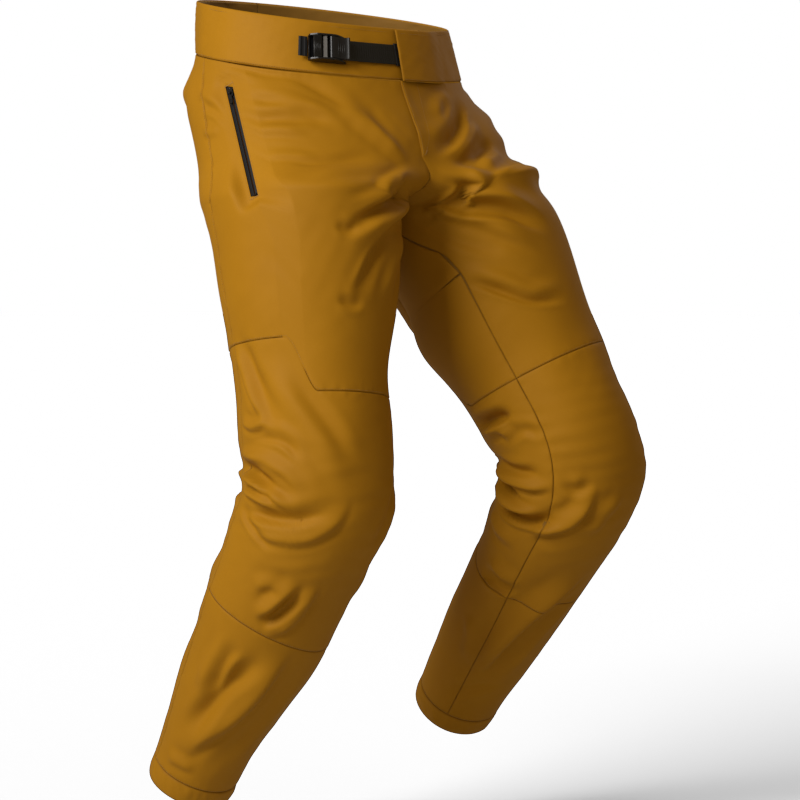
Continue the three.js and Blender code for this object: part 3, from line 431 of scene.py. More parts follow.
# ---- folds: lines on the cloth as (path, share) points in thousandths,
# then width and height in tenths of a millimetre and the hard side in tenths ----
# a height below zero is a valley with soft ridges beside it
folds = {
    "right": [
        (((-137, 545), (-150, 478), (-149, 357), (-145, 255), (-133, 200), (-115, 150)), 75, -42, 6),
        (((-128, 430), (-128, 360), (-124, 290), (-112, 208), (-98, 150)), 90, 30, 8),
        (((-112, 425), (-108, 360), (-112, 310), (-113, 250)), 65, 18, 8),
        (((-91, 430), (-97, 360), (-99, 312), (-100, 240), (-93, 190)), 85, -27, 8),
        (((-80, 420), (-84, 330), (-82, 260)), 70, 22, 7),
        (((-49, 400), (-52, 330), (-49, 255)), 60, 20, 8),
        (((-18, 345), (-27, 270), (-34, 200), (-52, 90)), 90, 22, 9),
        (((-40, 340), (-44, 250), (-56, 150)), 60, -16, 8),
        (((-46, 35), (-26, 120), (-2, 217), (24, 310)), 100, 62, 7),
        (((-36, 50), (-10, 140), (17, 232), (42, 300)), 75, -46, 6),
        (((-20, 75), (8, 160), (40, 245), (74, 310)), 115, 70, 7),
        (((12, 130), (40, 198), (76, 245), (112, 275), (130, 290)), 85, -50, 7),
        (((30, 120), (75, 180), (130, 225)), 120, 40, 8),
        (((126, 320), (133, 290), (128, 262)), 60, -26, 8),
        (((44, 325), (50, 300), (47, 278)), 60, -26, 8),
        (((-130, 185), (-104, 130), (-76, 80), (-52, 48)), 120, 30, 9),
        (((-120, 115), (-90, 80), (-60, 40)), 70, -16, 9),
        (((-98, 575), (-103, 540), (-98, 510), (-88, 488)), 50, -22, 8),
        (((-112, 590), (-116, 550), (-108, 515)), 60, 18, 8),
        (((-80, 590), (-78, 550), (-82, 515)), 60, 18, 8),
        (((160, 560), (185, 545), (217, 525), (258, 478)), 70, 44, 6),
        (((150, 530), (190, 512), (230, 485), (282, 436)), 90, -36, 8),
        (((180, 470), (230, 430), (290, 350), (325, 285)), 120, 30, 9),
        (((205, 420), (255, 360), (300, 290)), 90, -20, 9),
        (((255, 560), (266, 505), (259, 470)), 50, 40, 7),
        (((277, 520), (279, 485), (284, 440), (302, 395)), 60, -40, 6),
        (((298, 560), (301, 490), (314, 430), (327, 380)), 70, 40, 7),
        (((314, 600), (318, 530), (327, 480), (340, 440)), 72, -88, 7),
        (((327, 575), (329, 510), (334, 465), (345, 400)), 50, 70, 7),
        (((343, 560), (345, 500), (347, 430)), 40, 50, 7),
        (((363, 540), (361, 487), (353, 400), (337, 325)), 78, -78, 7),
        (((378, 500), (374, 420), (362, 350), (340, 300), (322, 290)), 80, 44, 7),
        (((362, 545), (374, 500), (388, 420)), 52, -38, 7),
        (((470, 405), (458, 380), (432, 358), (404, 335)), 75, 50, 7),
        (((482, 380), (455, 345), (420, 320)), 65, -48, 7),
        (((488, 365), (470, 325), (440, 305), (400, 300)), 80, 48, 7),
        (((440, 430), (425, 400), (420, 355)), 80, 26, 8),
        (((595, 430), (560, 425), (530, 415), (512, 395)), 80, -44, 7),
        (((600, 470), (560, 455), (520, 430)), 90, 26, 8),
        (((670, 440), (630, 422), (583, 400), (545, 365), (512, 335)), 105, -56, 8),
        (((690, 445), (655, 400), (600, 330), (545, 302), (490, 285)), 125, 78, 6),
        (((690, 330), (630, 280), (570, 250), (510, 240)), 140, -32, 9),
        (((700, 500), (696, 440), (694, 370)), 70, 22, 8),
        (((300, 120), (340, 170), (372, 200)), 100, -22, 9),
        (((350, 70), (395, 100), (430, 160)), 100, 30, 9),
        (((312, 960), (322, 860), (318, 740), (312, 630)), 80, -85, 6),
        (((334, 950), (340, 840), (334, 700), (332, 600)), 70, 58, 8),
        (((362, 930), (360, 820), (362, 680), (364, 570)), 75, -80, 6),
        (((385, 900), (392, 780), (384, 660)), 90, 40, 8),
        (((280, 900), (288, 780), (282, 640)), 90, 46, 8),
        (((255, 840), (262, 740), (256, 660)), 90, -30, 8),
        (((420, 860), (460, 780), (520, 740)), 120, 36, 8),
        (((440, 620), (500, 680), (560, 720)), 120, 34, 8),
        (((520, 600), (580, 660), (650, 700)), 110, -34, 8),
        (((600, 900), (640, 820), (690, 780)), 110, 34, 8),
        (((-10, 965), (30, 900), (60, 820), (75, 730)), 110, -55, 7),
        (((140, 620), (190, 680), (240, 720)), 120, 28, 8),
    ],
    "left": [
        (((-58, 10), (-41, 40), (-22, 100), (4, 168), (40, 230), (75, 300)), 100, 72, 6),
        (((-42, 20), (-15, 90), (30, 170), (62, 225), (90, 290)), 85, -56, 7),
        (((-26, 35), (-6, 90), (28, 148), (75, 200), (105, 250)), 105, 52, 7),
        (((-6, 60), (30, 100), (70, 140), (100, 180)), 90, -26, 8),
        (((88, 80), (98, 107), (120, 145), (148, 190), (160, 270)), 90, 36, 8),
        (((100, 85), (111, 107), (132, 140), (157, 190), (170, 270)), 66, -48, 6),
        (((-62, 20), (-78, 60), (-100, 110), (-122, 160), (-130, 200)), 85, -56, 6),
        (((-52, 40), (-66, 85), (-90, 140), (-108, 200)), 90, 50, 7),
        (((-112, 50), (-132, 85), (-142, 140)), 70, 26, 8),
        (((-46, 100), (-66, 160), (-82, 220)), 70, -34, 7),
        (((-30, 110), (-46, 170), (-62, 240)), 80, 34, 8),
        (((-20, 130), (-30, 190), (-34, 260)), 70, -24, 8),
        (((-142, 240), (-149, 320), (-148, 420), (-140, 520)), 85, -18, 9),
        (((-110, 250), (-118, 330), (-116, 410)), 95, 14, 9),
        (((-92, 240), (-100, 320), (-96, 410)), 90, -14, 9),
        (((-30, 300), (-42, 370), (-40, 440)), 80, 22, 8),
        (((256, 900), (259, 965), (262, 1013), (262, 1050)), 75, -100, 6),
        (((270, 930), (276, 1000), (296, 1012)), 70, 50, 8),
        (((296, 1000), (290, 1015), (286, 1050), (300, 1080)), 60, -26, 8),
        (((332, 930), (335, 993), (331, 1065)), 55, -48, 7),
        (((346, 900), (350, 980), (348, 1050), (340, 1090)), 65, 60, 7),
        (((372, 880), (374, 960), (369, 1020)), 58, -110, 6),
        (((385, 900), (390, 970), (380, 1035), (372, 1080)), 50, 60, 8),
        (((408, 930), (404, 990), (390, 1060), (371, 1125)), 66, -110, 5),
        (((405, 1060), (388, 1100), (370, 1150), (342, 1185)), 85, 75, 6),
        (((386, 1180), (364, 1215), (350, 1260)), 90, 30, 9),
        (((340, 1100), (346, 1140), (338, 1180)), 70, -34, 8),
        (((425, 900), (430, 980), (424, 1060)), 100, 46, 8),
        (((500, 990), (496, 1028), (496, 1068), (482, 1100)), 85, -52, 7),
        (((470, 1000), (476, 1060), (470, 1110)), 90, 30, 8),
        (((650, 1100), (613, 1122), (560, 1145), (500, 1180), (430, 1250)), 120, 80, 5),
        (((650, 1140), (590, 1170), (525, 1210), (455, 1275)), 130, -46, 9),
        (((560, 1010), (590, 1040), (630, 1050)), 100, 30, 8),
        (((690, 1060), (665, 1120), (640, 1200)), 90, -26, 8),
        (((300, 860), (306, 760), (302, 660), (300, 600)), 85, -95, 6),
        (((322, 880), (326, 770), (322, 650)), 70, 62, 8),
        (((350, 870), (352, 760), (350, 640), (348, 560)), 80, -105, 6),
        (((376, 860), (382, 740), (376, 630)), 80, 60, 8),
        (((400, 860), (406, 750), (400, 650)), 85, -50, 7),
        (((270, 850), (276, 750), (272, 650)), 100, 50, 8),
        (((245, 820), (250, 740), (246, 660)), 90, -30, 8),
        (((330, 560), (352, 480), (366, 400)), 80, -46, 7),
        (((345, 580), (372, 500), (388, 420)), 85, 40, 8),
        (((430, 820), (480, 760), (540, 730)), 120, 42, 8),
        (((440, 600), (500, 660), (570, 700)), 120, 38, 8),
        (((530, 560), (590, 640), (650, 690)), 110, -36, 8),
        (((-10, 965), (30, 900), (60, 820), (75, 730)), 110, -60, 7),
        (((140, 600), (190, 660), (240, 700)), 120, 28, 8),
    ],
    "both": [
        (((-22, 960), (-2, 890), (25, 800), (35, 700)), 120, 56, 7),
        (((18, 955), (60, 900), (100, 850), (135, 800)), 120, 46, 8),
        (((-120, 800), (-90, 880), (-60, 950)), 130, -30, 8),
        (((-125, 660), (-110, 730), (-112, 800)), 110, 28, 8),
    ],
}
foldScale = {"width": 0.88, "least": 0.0007, "height": 1.12}
foldShape = {"reach": 3.4, "taper": 0.32, "ridge": 0.36, "ridgeAt": 1.75, "ridgeWide": 0.75}
rolled = {"deep": 0.0006, "edge": 0.0014, "soft": 0.0003, "wide": 0.006, "line": 0.0013}
ripple = {"seed": 11, "broad": 0.0013, "fine": 0.00020, "pucker": 0.00032}


def smoothLine(points, count):
    # a rounded line through the control points
    pts = np.array(points, float)
    s = np.concatenate([[0], np.cumsum(np.linalg.norm(np.diff(pts * (1, 0.5), axis=0), axis=1))])
    u = np.linspace(0, s[-1], count)
    m = np.gradient(pts, s, axis=0)
    k = np.clip(np.searchsorted(s, u, side="right") - 1, 0, len(s) - 2)
    h = (s[k + 1] - s[k])[:, None]
    f = ((u - s[k]) / (s[k + 1] - s[k]))[:, None]
    return cubic(f, h, pts[k], pts[k + 1], m[k], m[k + 1])


def waves(points, length, seed, count=14):
    # smooth repeatable noise: crossed sine waves, -1 to 1
    draw = np.random.default_rng(seed)
    total = np.zeros(points.shape[:-1])
    for _ in range(count):
        way = draw.normal(size=3)
        way *= draw.uniform(0.6, 1.5) * 2 * np.pi / length / np.linalg.norm(way)
        total += np.sin(points @ way + draw.uniform(0, 2 * np.pi))
    return total / math.sqrt(count)


def prepareFolds(leg):
    ready = []
    for points, width, height, hard in folds[leg["label"]] + folds["both"]:
        width = width / 10000 * foldScale["width"] + foldScale["least"]
        height = height / 10000 * foldScale["height"]
        line = smoothLine(np.array(points) / 1000, 8 * len(points))
        here = formPoint(leg, line[:, 0], line[:, 1] % 1.0)
        inner = formPoint(leg, line[:, 0], line[:, 1] % 1.0, 0.01)
        ready.append((here, here - inner, width, height, hard / 10))
    leg["folds"] = ready


for leg in legs.values():
    prepareFolds(leg)


def foldHeight(leg, here):
    flat = here.reshape(-1, 3)
    total = np.zeros(len(flat))
    for line, out, width, height, hard in leg["folds"]:
        reach = width * foldShape["reach"]
        box = np.all((flat > line.min(0) - reach) & (flat < line.max(0) + reach), axis=1)
        if not box.any():
            continue
        pts = flat[box]
        best = np.full(len(pts), 1e9)
        along = np.zeros(len(pts))
        signed = np.zeros(len(pts))
        n = len(line) - 1
        for i in range(n):
            d = line[i + 1] - line[i]
            f = np.clip((pts - line[i]) @ d / (d @ d), 0, 1)
            off = pts - line[i] - f[:, None] * d
            r = np.linalg.norm(off, axis=1)
            way = np.cross(d, out[i])
            closer = r < best
            best = np.where(closer, r, best)
            along = np.where(closer, (i + f) / n, along)
            signed = np.where(closer, np.sign(off @ way), signed)
        w = np.where(signed > 0, width * hard, width * (2 - hard))
        x = best / w
        ends = ease(along / foldShape["taper"]) * ease((1 - along) / foldShape["taper"])
        ridge = np.exp(-((x - foldShape["ridgeAt"]) / foldShape["ridgeWide"]) ** 2)
        profile = np.exp(-x * x) - foldShape["ridge"] * ridge
        total[box] += height * ends * profile
    return total.reshape(here.shape[:-1])


def clothHeight(leg, p, t, here):
    # how far the cloth stands off the plain form
    height = foldHeight(leg, here)
    height = height + ripple["broad"] * waves(here * (1, 1, 0.7), 0.085, ripple["seed"]) * 0.5
    patches = ease(waves(here, 0.16, ripple["seed"] + 2) + 0.4)
    height = height + ripple["fine"] * waves(here * (1, 1, 0.8), 0.026, ripple["seed"] + 1) * patches
    knees = np.exp(-(((p - 0.345) / 0.075) ** 2))
    height = height + 0.0005 * knees * waves(here * (0.5, 0.5, 1.6), 0.034, ripple["seed"] + 3)
    band = ease((p + 0.168) / 0.022)  # the waistband stays nearly flat
    height = height * (0.18 + 0.82 * band)
    height = height * (1 - 0.75 * ease((p - 0.700) / 0.02))
    inner = ease(np.abs(here[..., 0]) / 0.035)
    height = np.where(p > -0.03, np.minimum(height, 0.0004 + 0.02 * inner), height)
    return height * np.where((p > -0.02) & (p < 0.2), 0.25 + 0.75 * inner, 1)


# ---- sheets of cloth ----
seams = {"knee": 0.230, "kneeOut": 0.168, "shin": 0.495, "shinWave": 0.010, "inner": 0.088, "innerRun": 0.07}


def kneeSeam(t):
    # steps down round the outside of the leg
    t = np.mod(t, 1.0)
    step = seams["knee"] - seams["kneeOut"]
    return seams["knee"] - step * ease((t - 0.36) / 0.06) + step * ease((t - 0.8) / 0.15)


def shinSeam(t):
    return seams["shin"] + seams["shinWave"] * np.cos(2 * np.pi * t)


def innerEdge(p):
    return seams["inner"] * ease(p / seams["innerRun"])


edgeSteps = np.array([0.0, 0.0004, 0.0009, 0.0016, 0.0027, 0.0043])


def spacing(length, step):
    # even steps with finer ones beside the seams
    near = edgeSteps
    inner = np.linspace(near[-1], length - near[-1], max(3, int(round((length - 2 * near[-1]) / step)) + 1))
    return np.concatenate([near[:-1], inner, (length - near[:-1])[::-1]]) / length


def coons(left, right, top, bottom):
    # a grid of (path, share) between four boundary lines
    return lambda u, v: coonsAt(left, right, top, bottom, u, v)


def coonsAt(left, right, top, bottom, u, v):
    U, V = u[:, None, None], v[None, :, None]
    L, R, T, B = left(u)[:, None], right(u)[:, None], top(v)[None], bottom(v)[None]
    corners = (1 - U) * (1 - V) * T[:, :1] + (1 - U) * V * T[:, -1:] + U * (1 - V) * B[:, :1] + U * V * B[:, -1:]
    return (1 - V) * L + V * R + (1 - U) * T + U * B - corners


def lineAt(path, share):
    return lambda x: np.stack(np.broadcast_arrays(path(x), share(x)), -1).astype(float)


def route(points):
    # straight pieces between the points, by length
    pts = np.array(points, float)
    s = np.concatenate([[0], np.cumsum(np.linalg.norm(np.diff(pts * (1, 0.5), axis=0), axis=1))])
    return lambda x: np.stack([np.interp(np.asarray(x) * s[-1], s, pts[:, k]) for k in range(2)], -1)


def link(name, mesh, material):
    piece = bpy.data.objects.new(name, mesh)
    scene.collection.objects.link(piece)
    mesh.materials.append(finishes[material])
    return piece


def meshOf(name, points, faces, material, cloth, near):
    mesh = bpy.data.meshes.new(name)
    mesh.from_pydata([tuple(q) for q in points], [], [tuple(int(i) for i in f) for f in faces])
    layer = mesh.uv_layers.new(name="clothMap")
    index = np.zeros(len(mesh.loops), int)
    mesh.loops.foreach_get("vertex_index", index)
    layer.data.foreach_set("uv", cloth[index].astype(np.float32).ravel())
    # the seam mask says where painted shade darkens the cloth
    mesh.attributes.new("seamShadeMask", "FLOAT", "POINT").data.foreach_set("value", near.astype(np.float32))
    mesh.polygons.foreach_set("use_smooth", np.ones(len(mesh.polygons), bool))
    mesh.validate()
    return link(name, mesh, material)


def stepsAlong(points, axis):
    d = np.linalg.norm(np.diff(points, axis=axis), axis=-1)
    zero = np.zeros_like(np.take(d, [0], axis=axis))
    return np.concatenate([zero, np.cumsum(d, axis=axis)], axis=axis)


def closedSheet(name, outer, inner, cloth, near, material, keep=None, wrap=False):
    # two grids of points closed into one shell; keep says which squares stay
    rows, columns = outer.shape[:2]
    nextColumn = [(j + 1) % columns for j in range(columns)] if wrap else list(range(1, columns + 1))
    spanColumns = columns if wrap else columns - 1
    keep = np.ones((rows - 1, spanColumns), bool) if keep is None else keep
    layer = rows * columns
    used = {}
    faces = []
    for i in range(rows - 1):
        for j in range(spanColumns):
            if not keep[i, j]:
                continue
            a, d = i * columns + j, i * columns + nextColumn[j]
            b, c = a + columns, d + columns
            faces.append((a, b, c, d))
            faces.append((d + layer, c + layer, b + layer, a + layer))
            for m, n in ((a, b), (b, c), (c, d), (d, a)):
                if (n, m) in used:
                    del used[(n, m)]
                else:
                    used[(m, n)] = True
    faces += [(n, m, m + layer, n + layer) for m, n in used]
    points = np.concatenate([outer.reshape(-1, 3), inner.reshape(-1, 3)])
    index = np.array(faces)
    if signedVolume(points, index) < 0:
        faces = [f[::-1] for f in faces]
    live = np.unique(np.array(faces))
    renumber = np.full(len(points), -1)
    renumber[live] = np.arange(len(live))
    faces = [tuple(renumber[k] for k in f) for f in faces]
    both = np.concatenate([cloth.reshape(-1, 2)] * 2)[live]
    close = np.concatenate([near.ravel()] * 2)[live]
    return meshOf(name, points[live], faces, material, both, close)


def signedVolume(points, quads):
    a, b, c, d = (points[quads[:, k]] for k in range(4))
    return (np.einsum("ij,ij->i", a, np.cross(b, c)) + np.einsum("ij,ij->i", a, np.cross(c, d))).sum() / 6


zipDent = {"near": 0.0085, "far": 0.024, "endNear": 0.010, "endFar": 0.026, "level": 0.0019}


def pressToZip(leg, points):
    # cloth beside a pocket zip lies down to the zip's straight line
    seat = zipSeats[leg["label"]]
    local = (points - seat["origin"]) @ seat["axes"]
    x, y, z = local[..., 0], local[..., 1], local[..., 2]
    length = zipSizes["pocketLength"]
    beyond = np.maximum(0, np.maximum(-y, y - length))
    aside = ease((np.abs(x) - zipDent["near"]) / (zipDent["far"] - zipDent["near"]))
    past = ease((beyond - zipDent["endNear"]) / (zipDent["endFar"] - zipDent["endNear"]))
    amount = (1 - aside) * (1 - past)
    amount = np.where(np.abs(z) < 0.03, amount, 0)
    return points + amount[..., None] * (zipDent["level"] - z)[..., None] * seat["axes"][:, 2]


def clothPiece(leg, grid, u, v, zipCut=False, lift=None):
    # a patch of cloth whose four edges roll under at the seams
    pt = grid(u, v)
    p, t = pt[..., 0], pt[..., 1]
    t = np.where((p > 0) & (t > 1), t - 1, np.where((p > 0) & (t < 0), t + 1, t))
    here = formPoint(leg, p, t)
    height = clothHeight(leg, p, t, here)
    down, across = stepsAlong(here, 0), stepsAlong(here, 1)
    nearSeam = np.full(p.shape, 1.0)
    for gap in (down, down[-1:] - down, across, across[:, -1:] - across):
        nearSeam = np.minimum(nearSeam, gap)
    roll = rolled["deep"] * (1 - ease(nearSeam / rolled["edge"]))
    roll = roll + rolled["soft"] * (1 - ease(nearSeam / rolled["wide"]))
    pucker = ripple["pucker"] * waves(here, 0.011, ripple["seed"] + 5)
    pucker = pucker * np.exp(-nearSeam / 0.006) * ease(nearSeam / 0.0012)
    depth = roll - height - pucker
    if lift is not None:
        depth = depth - lift(p, t)
    outward = formNormal(leg, p, t, here)
    outer = keepSide(leg, p, here - outward * depth[..., None])
    if zipCut:
        outer = pressToZip(leg, outer)
    inner = keepSide(leg, p, outer - sheetNormal(outer, outward) * garment["cloth"])
    cloth = np.stack([across, down], -1)
    # mask of painted shade, full at each seam and gone a little over a millimetre in
    near = 1 - ease(nearSeam / rolled["line"])
    return outer, inner, cloth, near, pt


def addCloth(name, bodyRide, nodes, result, keep=None):
    outer, inner, cloth, near, _ = result
    piece = closedSheet(name, outer, inner, cloth, near, "shell", keep)
    bodyRide(piece)
    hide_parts(*nodes)


def onTrousers(piece):
    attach(piece, "trousers")


def onShin(leg):
    return lambda piece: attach(piece, leg["label"] + "_shin")


def acrossKnee(leg):
    # the piece across the knee is baked where it stands and rides on no body
    c, _, _, up = legFrame(leg, np.array([garment["kneeDrop"]]))
    return lambda piece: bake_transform(piece)


# ---- where the zips sit ----
zipSizes = {
    "pocketLength": 0.150, "flyLength": 0.084, "pocketShare": 0.462, "pocketTop": -0.128, "slotHalf": 0.0049,
    "slotEnd": 0.0042}


def unit(v):
    return v / np.linalg.norm(v)


def seatOf(leg, origin, along, out, halfAcross, y0, y1, paths, shares, drop):
    y = unit(along)
    z = unit(out - y * (out @ y))
    axes = np.stack([np.cross(y, z), y, z], 1)
    P, T = np.meshgrid(np.linspace(*paths, 61), np.linspace(*shares, 61), indexing="ij")
    local = (formPoint(leg, P, T, 0.0024) - origin) @ axes
    inside = (np.abs(local[..., 0]) <= halfAcross) & (local[..., 1] >= y0) & (local[..., 1] <= y1)
    low, high = local[..., 2][inside].min(), local[..., 2][inside].max()
    return {"origin": origin + axes[:, 2] * (low - drop), "axes": axes, "sag": high - low}


def pocketSeat(leg):
    p0, p1 = zipSizes["pocketTop"], zipSizes["pocketTop"] + zipSizes["pocketLength"]
    t0, t1 = zipSizes["pocketShare"] + 0.008, zipSizes["pocketShare"] - 0.004
    a, b = formPoint(leg, p0, t0), formPoint(leg, p1, t1)
    p, t = (p0 + p1) / 2, (t0 + t1) / 2
    dp = formPoint(leg, p + 0.003, t) - formPoint(leg, p - 0.003, t)
    dt = formPoint(leg, p, t + 0.01) - formPoint(leg, p, t - 0.01)
    out = unit(np.cross(dp, dt))
    if out @ (formPoint(leg, p, t, 0.02) - formPoint(leg, p, t)) > 0:
        out = -out
    return seatOf(
        leg, a, b - a, out, 0.012, -0.009, zipSizes["pocketLength"] + 0.009, (p0 - 0.020, p1 + 0.020), (0.4, 0.53),
        0.0009)


def flySeat():
    leg = legs["left"]
    p0 = garment["bandSeam"] + 0.008
    a, b = formPoint(leg, p0, 0.0), formPoint(leg, p0 + zipSizes["flyLength"], 0.0)
    a[0] = b[0] = 0
    return seatOf(
        leg, a, b - a, np.array([0.0, -1.0, 0.0]), 0.024, -0.008, zipSizes["flyLength"] + 0.008,
        (garment["bandSeam"], p0 + zipSizes["flyLength"] + 0.010), (0, 0.09), 0.0064)


zipSeats = {label: pocketSeat(leg) for label, leg in legs.items()}
zipSeats["fly"] = flySeat()
print("zip sag mm", round(zipSeats["right"]["sag"] * 1000, 2), round(zipSeats["left"]["sag"] * 1000, 2))


def zipLine(leg, half):
    # share of the slot's two edges at each path, from the seat's straight line
    seat = zipSeats[leg["label"]]
    P, T = np.meshgrid(np.linspace(-0.150, 0.060, 421), np.linspace(0.36, 0.57, 421), indexing="ij")
    local = (formPoint(leg, P, T) - seat["origin"]) @ seat["axes"]
    paths, shares, x = P[:, 0], T[0], local[..., 0]
    way = np.sign(x[0, -1] - x[0, 0])
    crossing = lambda level: np.array([np.interp(way * level, way * row, shares) for row in x])
    low, high = sorted((crossing(-half), crossing(half)), key=lambda edge: edge[0])
    middle = crossing(0.0)
    ys = np.array([np.interp(m, shares, row) for m, row in zip(middle, local[..., 1])])
    top, end = -zipSizes["slotEnd"], zipSizes["pocketLength"] + zipSizes["slotEnd"]
    return paths, low, high, np.interp(top, ys, paths), np.interp(end, ys, paths)


def frontPanel(leg):
    paths, low, high, pTop, pEnd = zipLine(leg, zipSizes["slotHalf"])
    seam, side = garment["bandSeam"], garment["outSeam"]
    gap = 0.00018
    length = seams["kneeOut"] - seam
    above = np.linspace(edgeSteps[-1], pTop - seam, 6)[1:]
    beside = np.linspace(pTop - seam, pEnd - seam, 58)[1:]
    below = np.linspace(pEnd - seam, length - edgeSteps[-1], 54)[1:]
    u = np.concatenate([edgeSteps, above, beside, below, length - edgeSteps[-2::-1]]) / length
    rowTop = len(edgeSteps) + len(above) - 1
    rowEnd = rowTop + len(beside)
    inwards = spacing(0.235, 0.0027)
    edgeFine = np.array([0.0, 0.02, 0.05, 0.10])
    nearSlot = 1 - edgeFine[::-1] * 0.12
    first = np.concatenate([inwards[inwards < 0.87], nearSlot])  # ends fine beside the slot
    last = np.concatenate([edgeFine[:-1] * 0.5, np.linspace(0.05, 0.93, 16), [0.95, 0.965, 0.98, 0.99, 1.0]])
    v = np.concatenate([first, [1.5], 2 + last])
    columnLow, columnHigh = len(first) - 1, len(first) + 1

    def grid(u, v):
        f = u[:, None]
        guess = np.minimum(v / 3.0, 1)[None, :]
        p = seam + gap + f * (kneeSeam(0.2) - gap * 2 - seam) + 0 * guess
        for _ in range(3):
            startT = innerEdge(p) + gap / 0.6
            a, b = np.interp(p, paths, low), np.interp(p, paths, high)
            within = np.where(v[None] < 2, a + (b - a) * (v[None] - 1), b + (side - gap / 0.6 - b) * (v[None] - 2))
            t = np.where(v[None] <= 1, startT + (a - startT) * v[None], within)
            p = seam + gap + f * (kneeSeam(t) - gap * 2 - seam)
        return np.stack([p, t], -1)

    keep = np.ones((len(u) - 1, len(v) - 1), bool)
    keep[rowTop:rowEnd, columnLow:columnHigh] = False
    return u, v, grid, keep


flyFlap = {"stand": 0.0017, "sink": -0.0007, "girth": 0.62, "width": 0.016, "end": -0.050, "over": 0.0085}


def flyLift(leg):
    # the wearer's left front lies over the right one along the fly
    amount = flyFlap["stand"] if leg["side"] > 0 else flyFlap["sink"]

    def lift(p, t):
        near = 1 - ease(t * flyFlap["girth"] / flyFlap["width"])
        low = 1 - ease((p - flyFlap["end"] + 0.02) / 0.02)
        return amount * near * low

    return lift


def layOver(points, p, t):
    # the placket's edge reaches past the middle front
    near = 1 - ease(t * flyFlap["girth"] / 0.050)
    low = 1 - ease((p - flyFlap["end"] + 0.012) / 0.024)
    points = points.copy()
    points[..., 0] -= flyFlap["over"] * near * low
    return points


gussetCorners = {"crotch": (0.003, 0.0), "frontCorner": (0.091, 0.086), "backCorner": (0.117, -0.125)}


def acrossCloth(leg, centre, offsets):
    # points beside a line on the cloth, the offsets in metres
    p, t = centre[:, 0], centre[:, 1]
    around = np.linalg.norm(formPoint(leg, p, t % 1.0 + 0.002) - formPoint(leg, p, t % 1.0 - 0.002), axis=-1) / 0.004
    around = np.maximum(around, 0.12)
    dp, dt = np.gradient(p), np.gradient(t)
    length = np.maximum(np.hypot(dp, dt * around), 1e-9)
    side = np.stack([-dt * around / length, dp / length / around], -1)
    return centre[:, None] + side[:, None] * np.asarray(offsets)[None, :, None]


def clothStrip(name, leg, points, half, rideIt, depth, thick):
    # a narrow strip that follows the folded cloth, such as a seam allowance
    pts = np.array(points, float)
    length = np.linalg.norm(np.diff(pts * (1, 0.55), axis=0), axis=1).sum()
    u = np.linspace(0, 1, max(6, int(length / 0.004)))
    centre = route(points)(u)
    offsets = np.array([-1, -0.8, -0.4, 0, 0.4, 0.8, 1]) * half
    pt = acrossCloth(leg, centre, offsets)
    p, t = pt[..., 0], pt[..., 1]
    t = np.where(p > 0, t % 1.0, np.clip(t, 0.0, 1.0))
    here = formPoint(leg, p, t)
    d = depth - clothHeight(leg, p, t, here)
    outward = formNormal(leg, p, t, here)
    outer, inner = here - outward * d[..., None], here - outward * (d + thick)[..., None]
    cloth = np.stack([stepsAlong(here, 1), stepsAlong(here, 0)], -1)
    piece = closedSheet(name, outer, inner, cloth, np.zeros(p.shape), "lining")
    rideIt(piece)


def buildSeamTapes(leg):
    label, side = leg["label"], garment["outSeam"]
    depth, thick, half = garment["cloth"] + 0.00045, 0.0005, 0.0042
    bend, shin = acrossKnee(leg), onShin(leg)
    ring = lambda f, a, b, n: [(float(f(x)), float(x)) for x in np.linspace(a, b, n)]
    down = lambda t, a, b: [(float(x), t) for x in np.linspace(a, b, 30)]
    corner, back = gussetCorners["frontCorner"], gussetCorners["backCorner"]
    lines = (
        ("_outseam_tape_thigh", down(side, garment["bandSeam"] + 0.002, 0.166), onTrousers),
        ("_outseam_tape_knee", down(side, 0.170, 0.492), bend),
        ("_outseam_tape_shin", down(side, 0.486, 0.717), shin),
        ("_inseam_tape_thigh", down(seams["inner"], corner[0], 0.228), onTrousers),
        ("_inseam_tape_knee", down(seams["inner"], 0.231, 0.501), bend),
        ("_inseam_tape_shin", down(seams["inner"], 0.504, 0.717), shin),
        ("_knee_seam_tape", ring(kneeSeam, seams["inner"], 1 + seams["inner"], 110), onTrousers),
        ("_shin_seam_tape", ring(shinSeam, 0.0, 0.9999, 80), shin),
        ("_cuff_seam_tape", ring(lambda x: garment["cuffSeam"] + 0 * x, 0.0, 0.9999, 60), shin),
        ("_gusset_tape_front", [
            (0.001, 0.001), (0.012, innerEdge(0.012)), (0.030, innerEdge(0.030)), (0.06, innerEdge(0.06)),
            (corner[0], corner[1])], onTrousers),
        ("_gusset_tape_back", [(0.001, -0.001), (0.030, -0.038), (0.070, -0.085), (back[0], back[1])], onTrousers),
        ("_gusset_tape_low", [(back[0], back[1]), (corner[0], corner[1])], onTrousers),
    )
    for name, points, rideIt in lines:
        clothStrip(label + name, leg, points, half, rideIt, depth, thick)
    print(label, "seam tapes made")


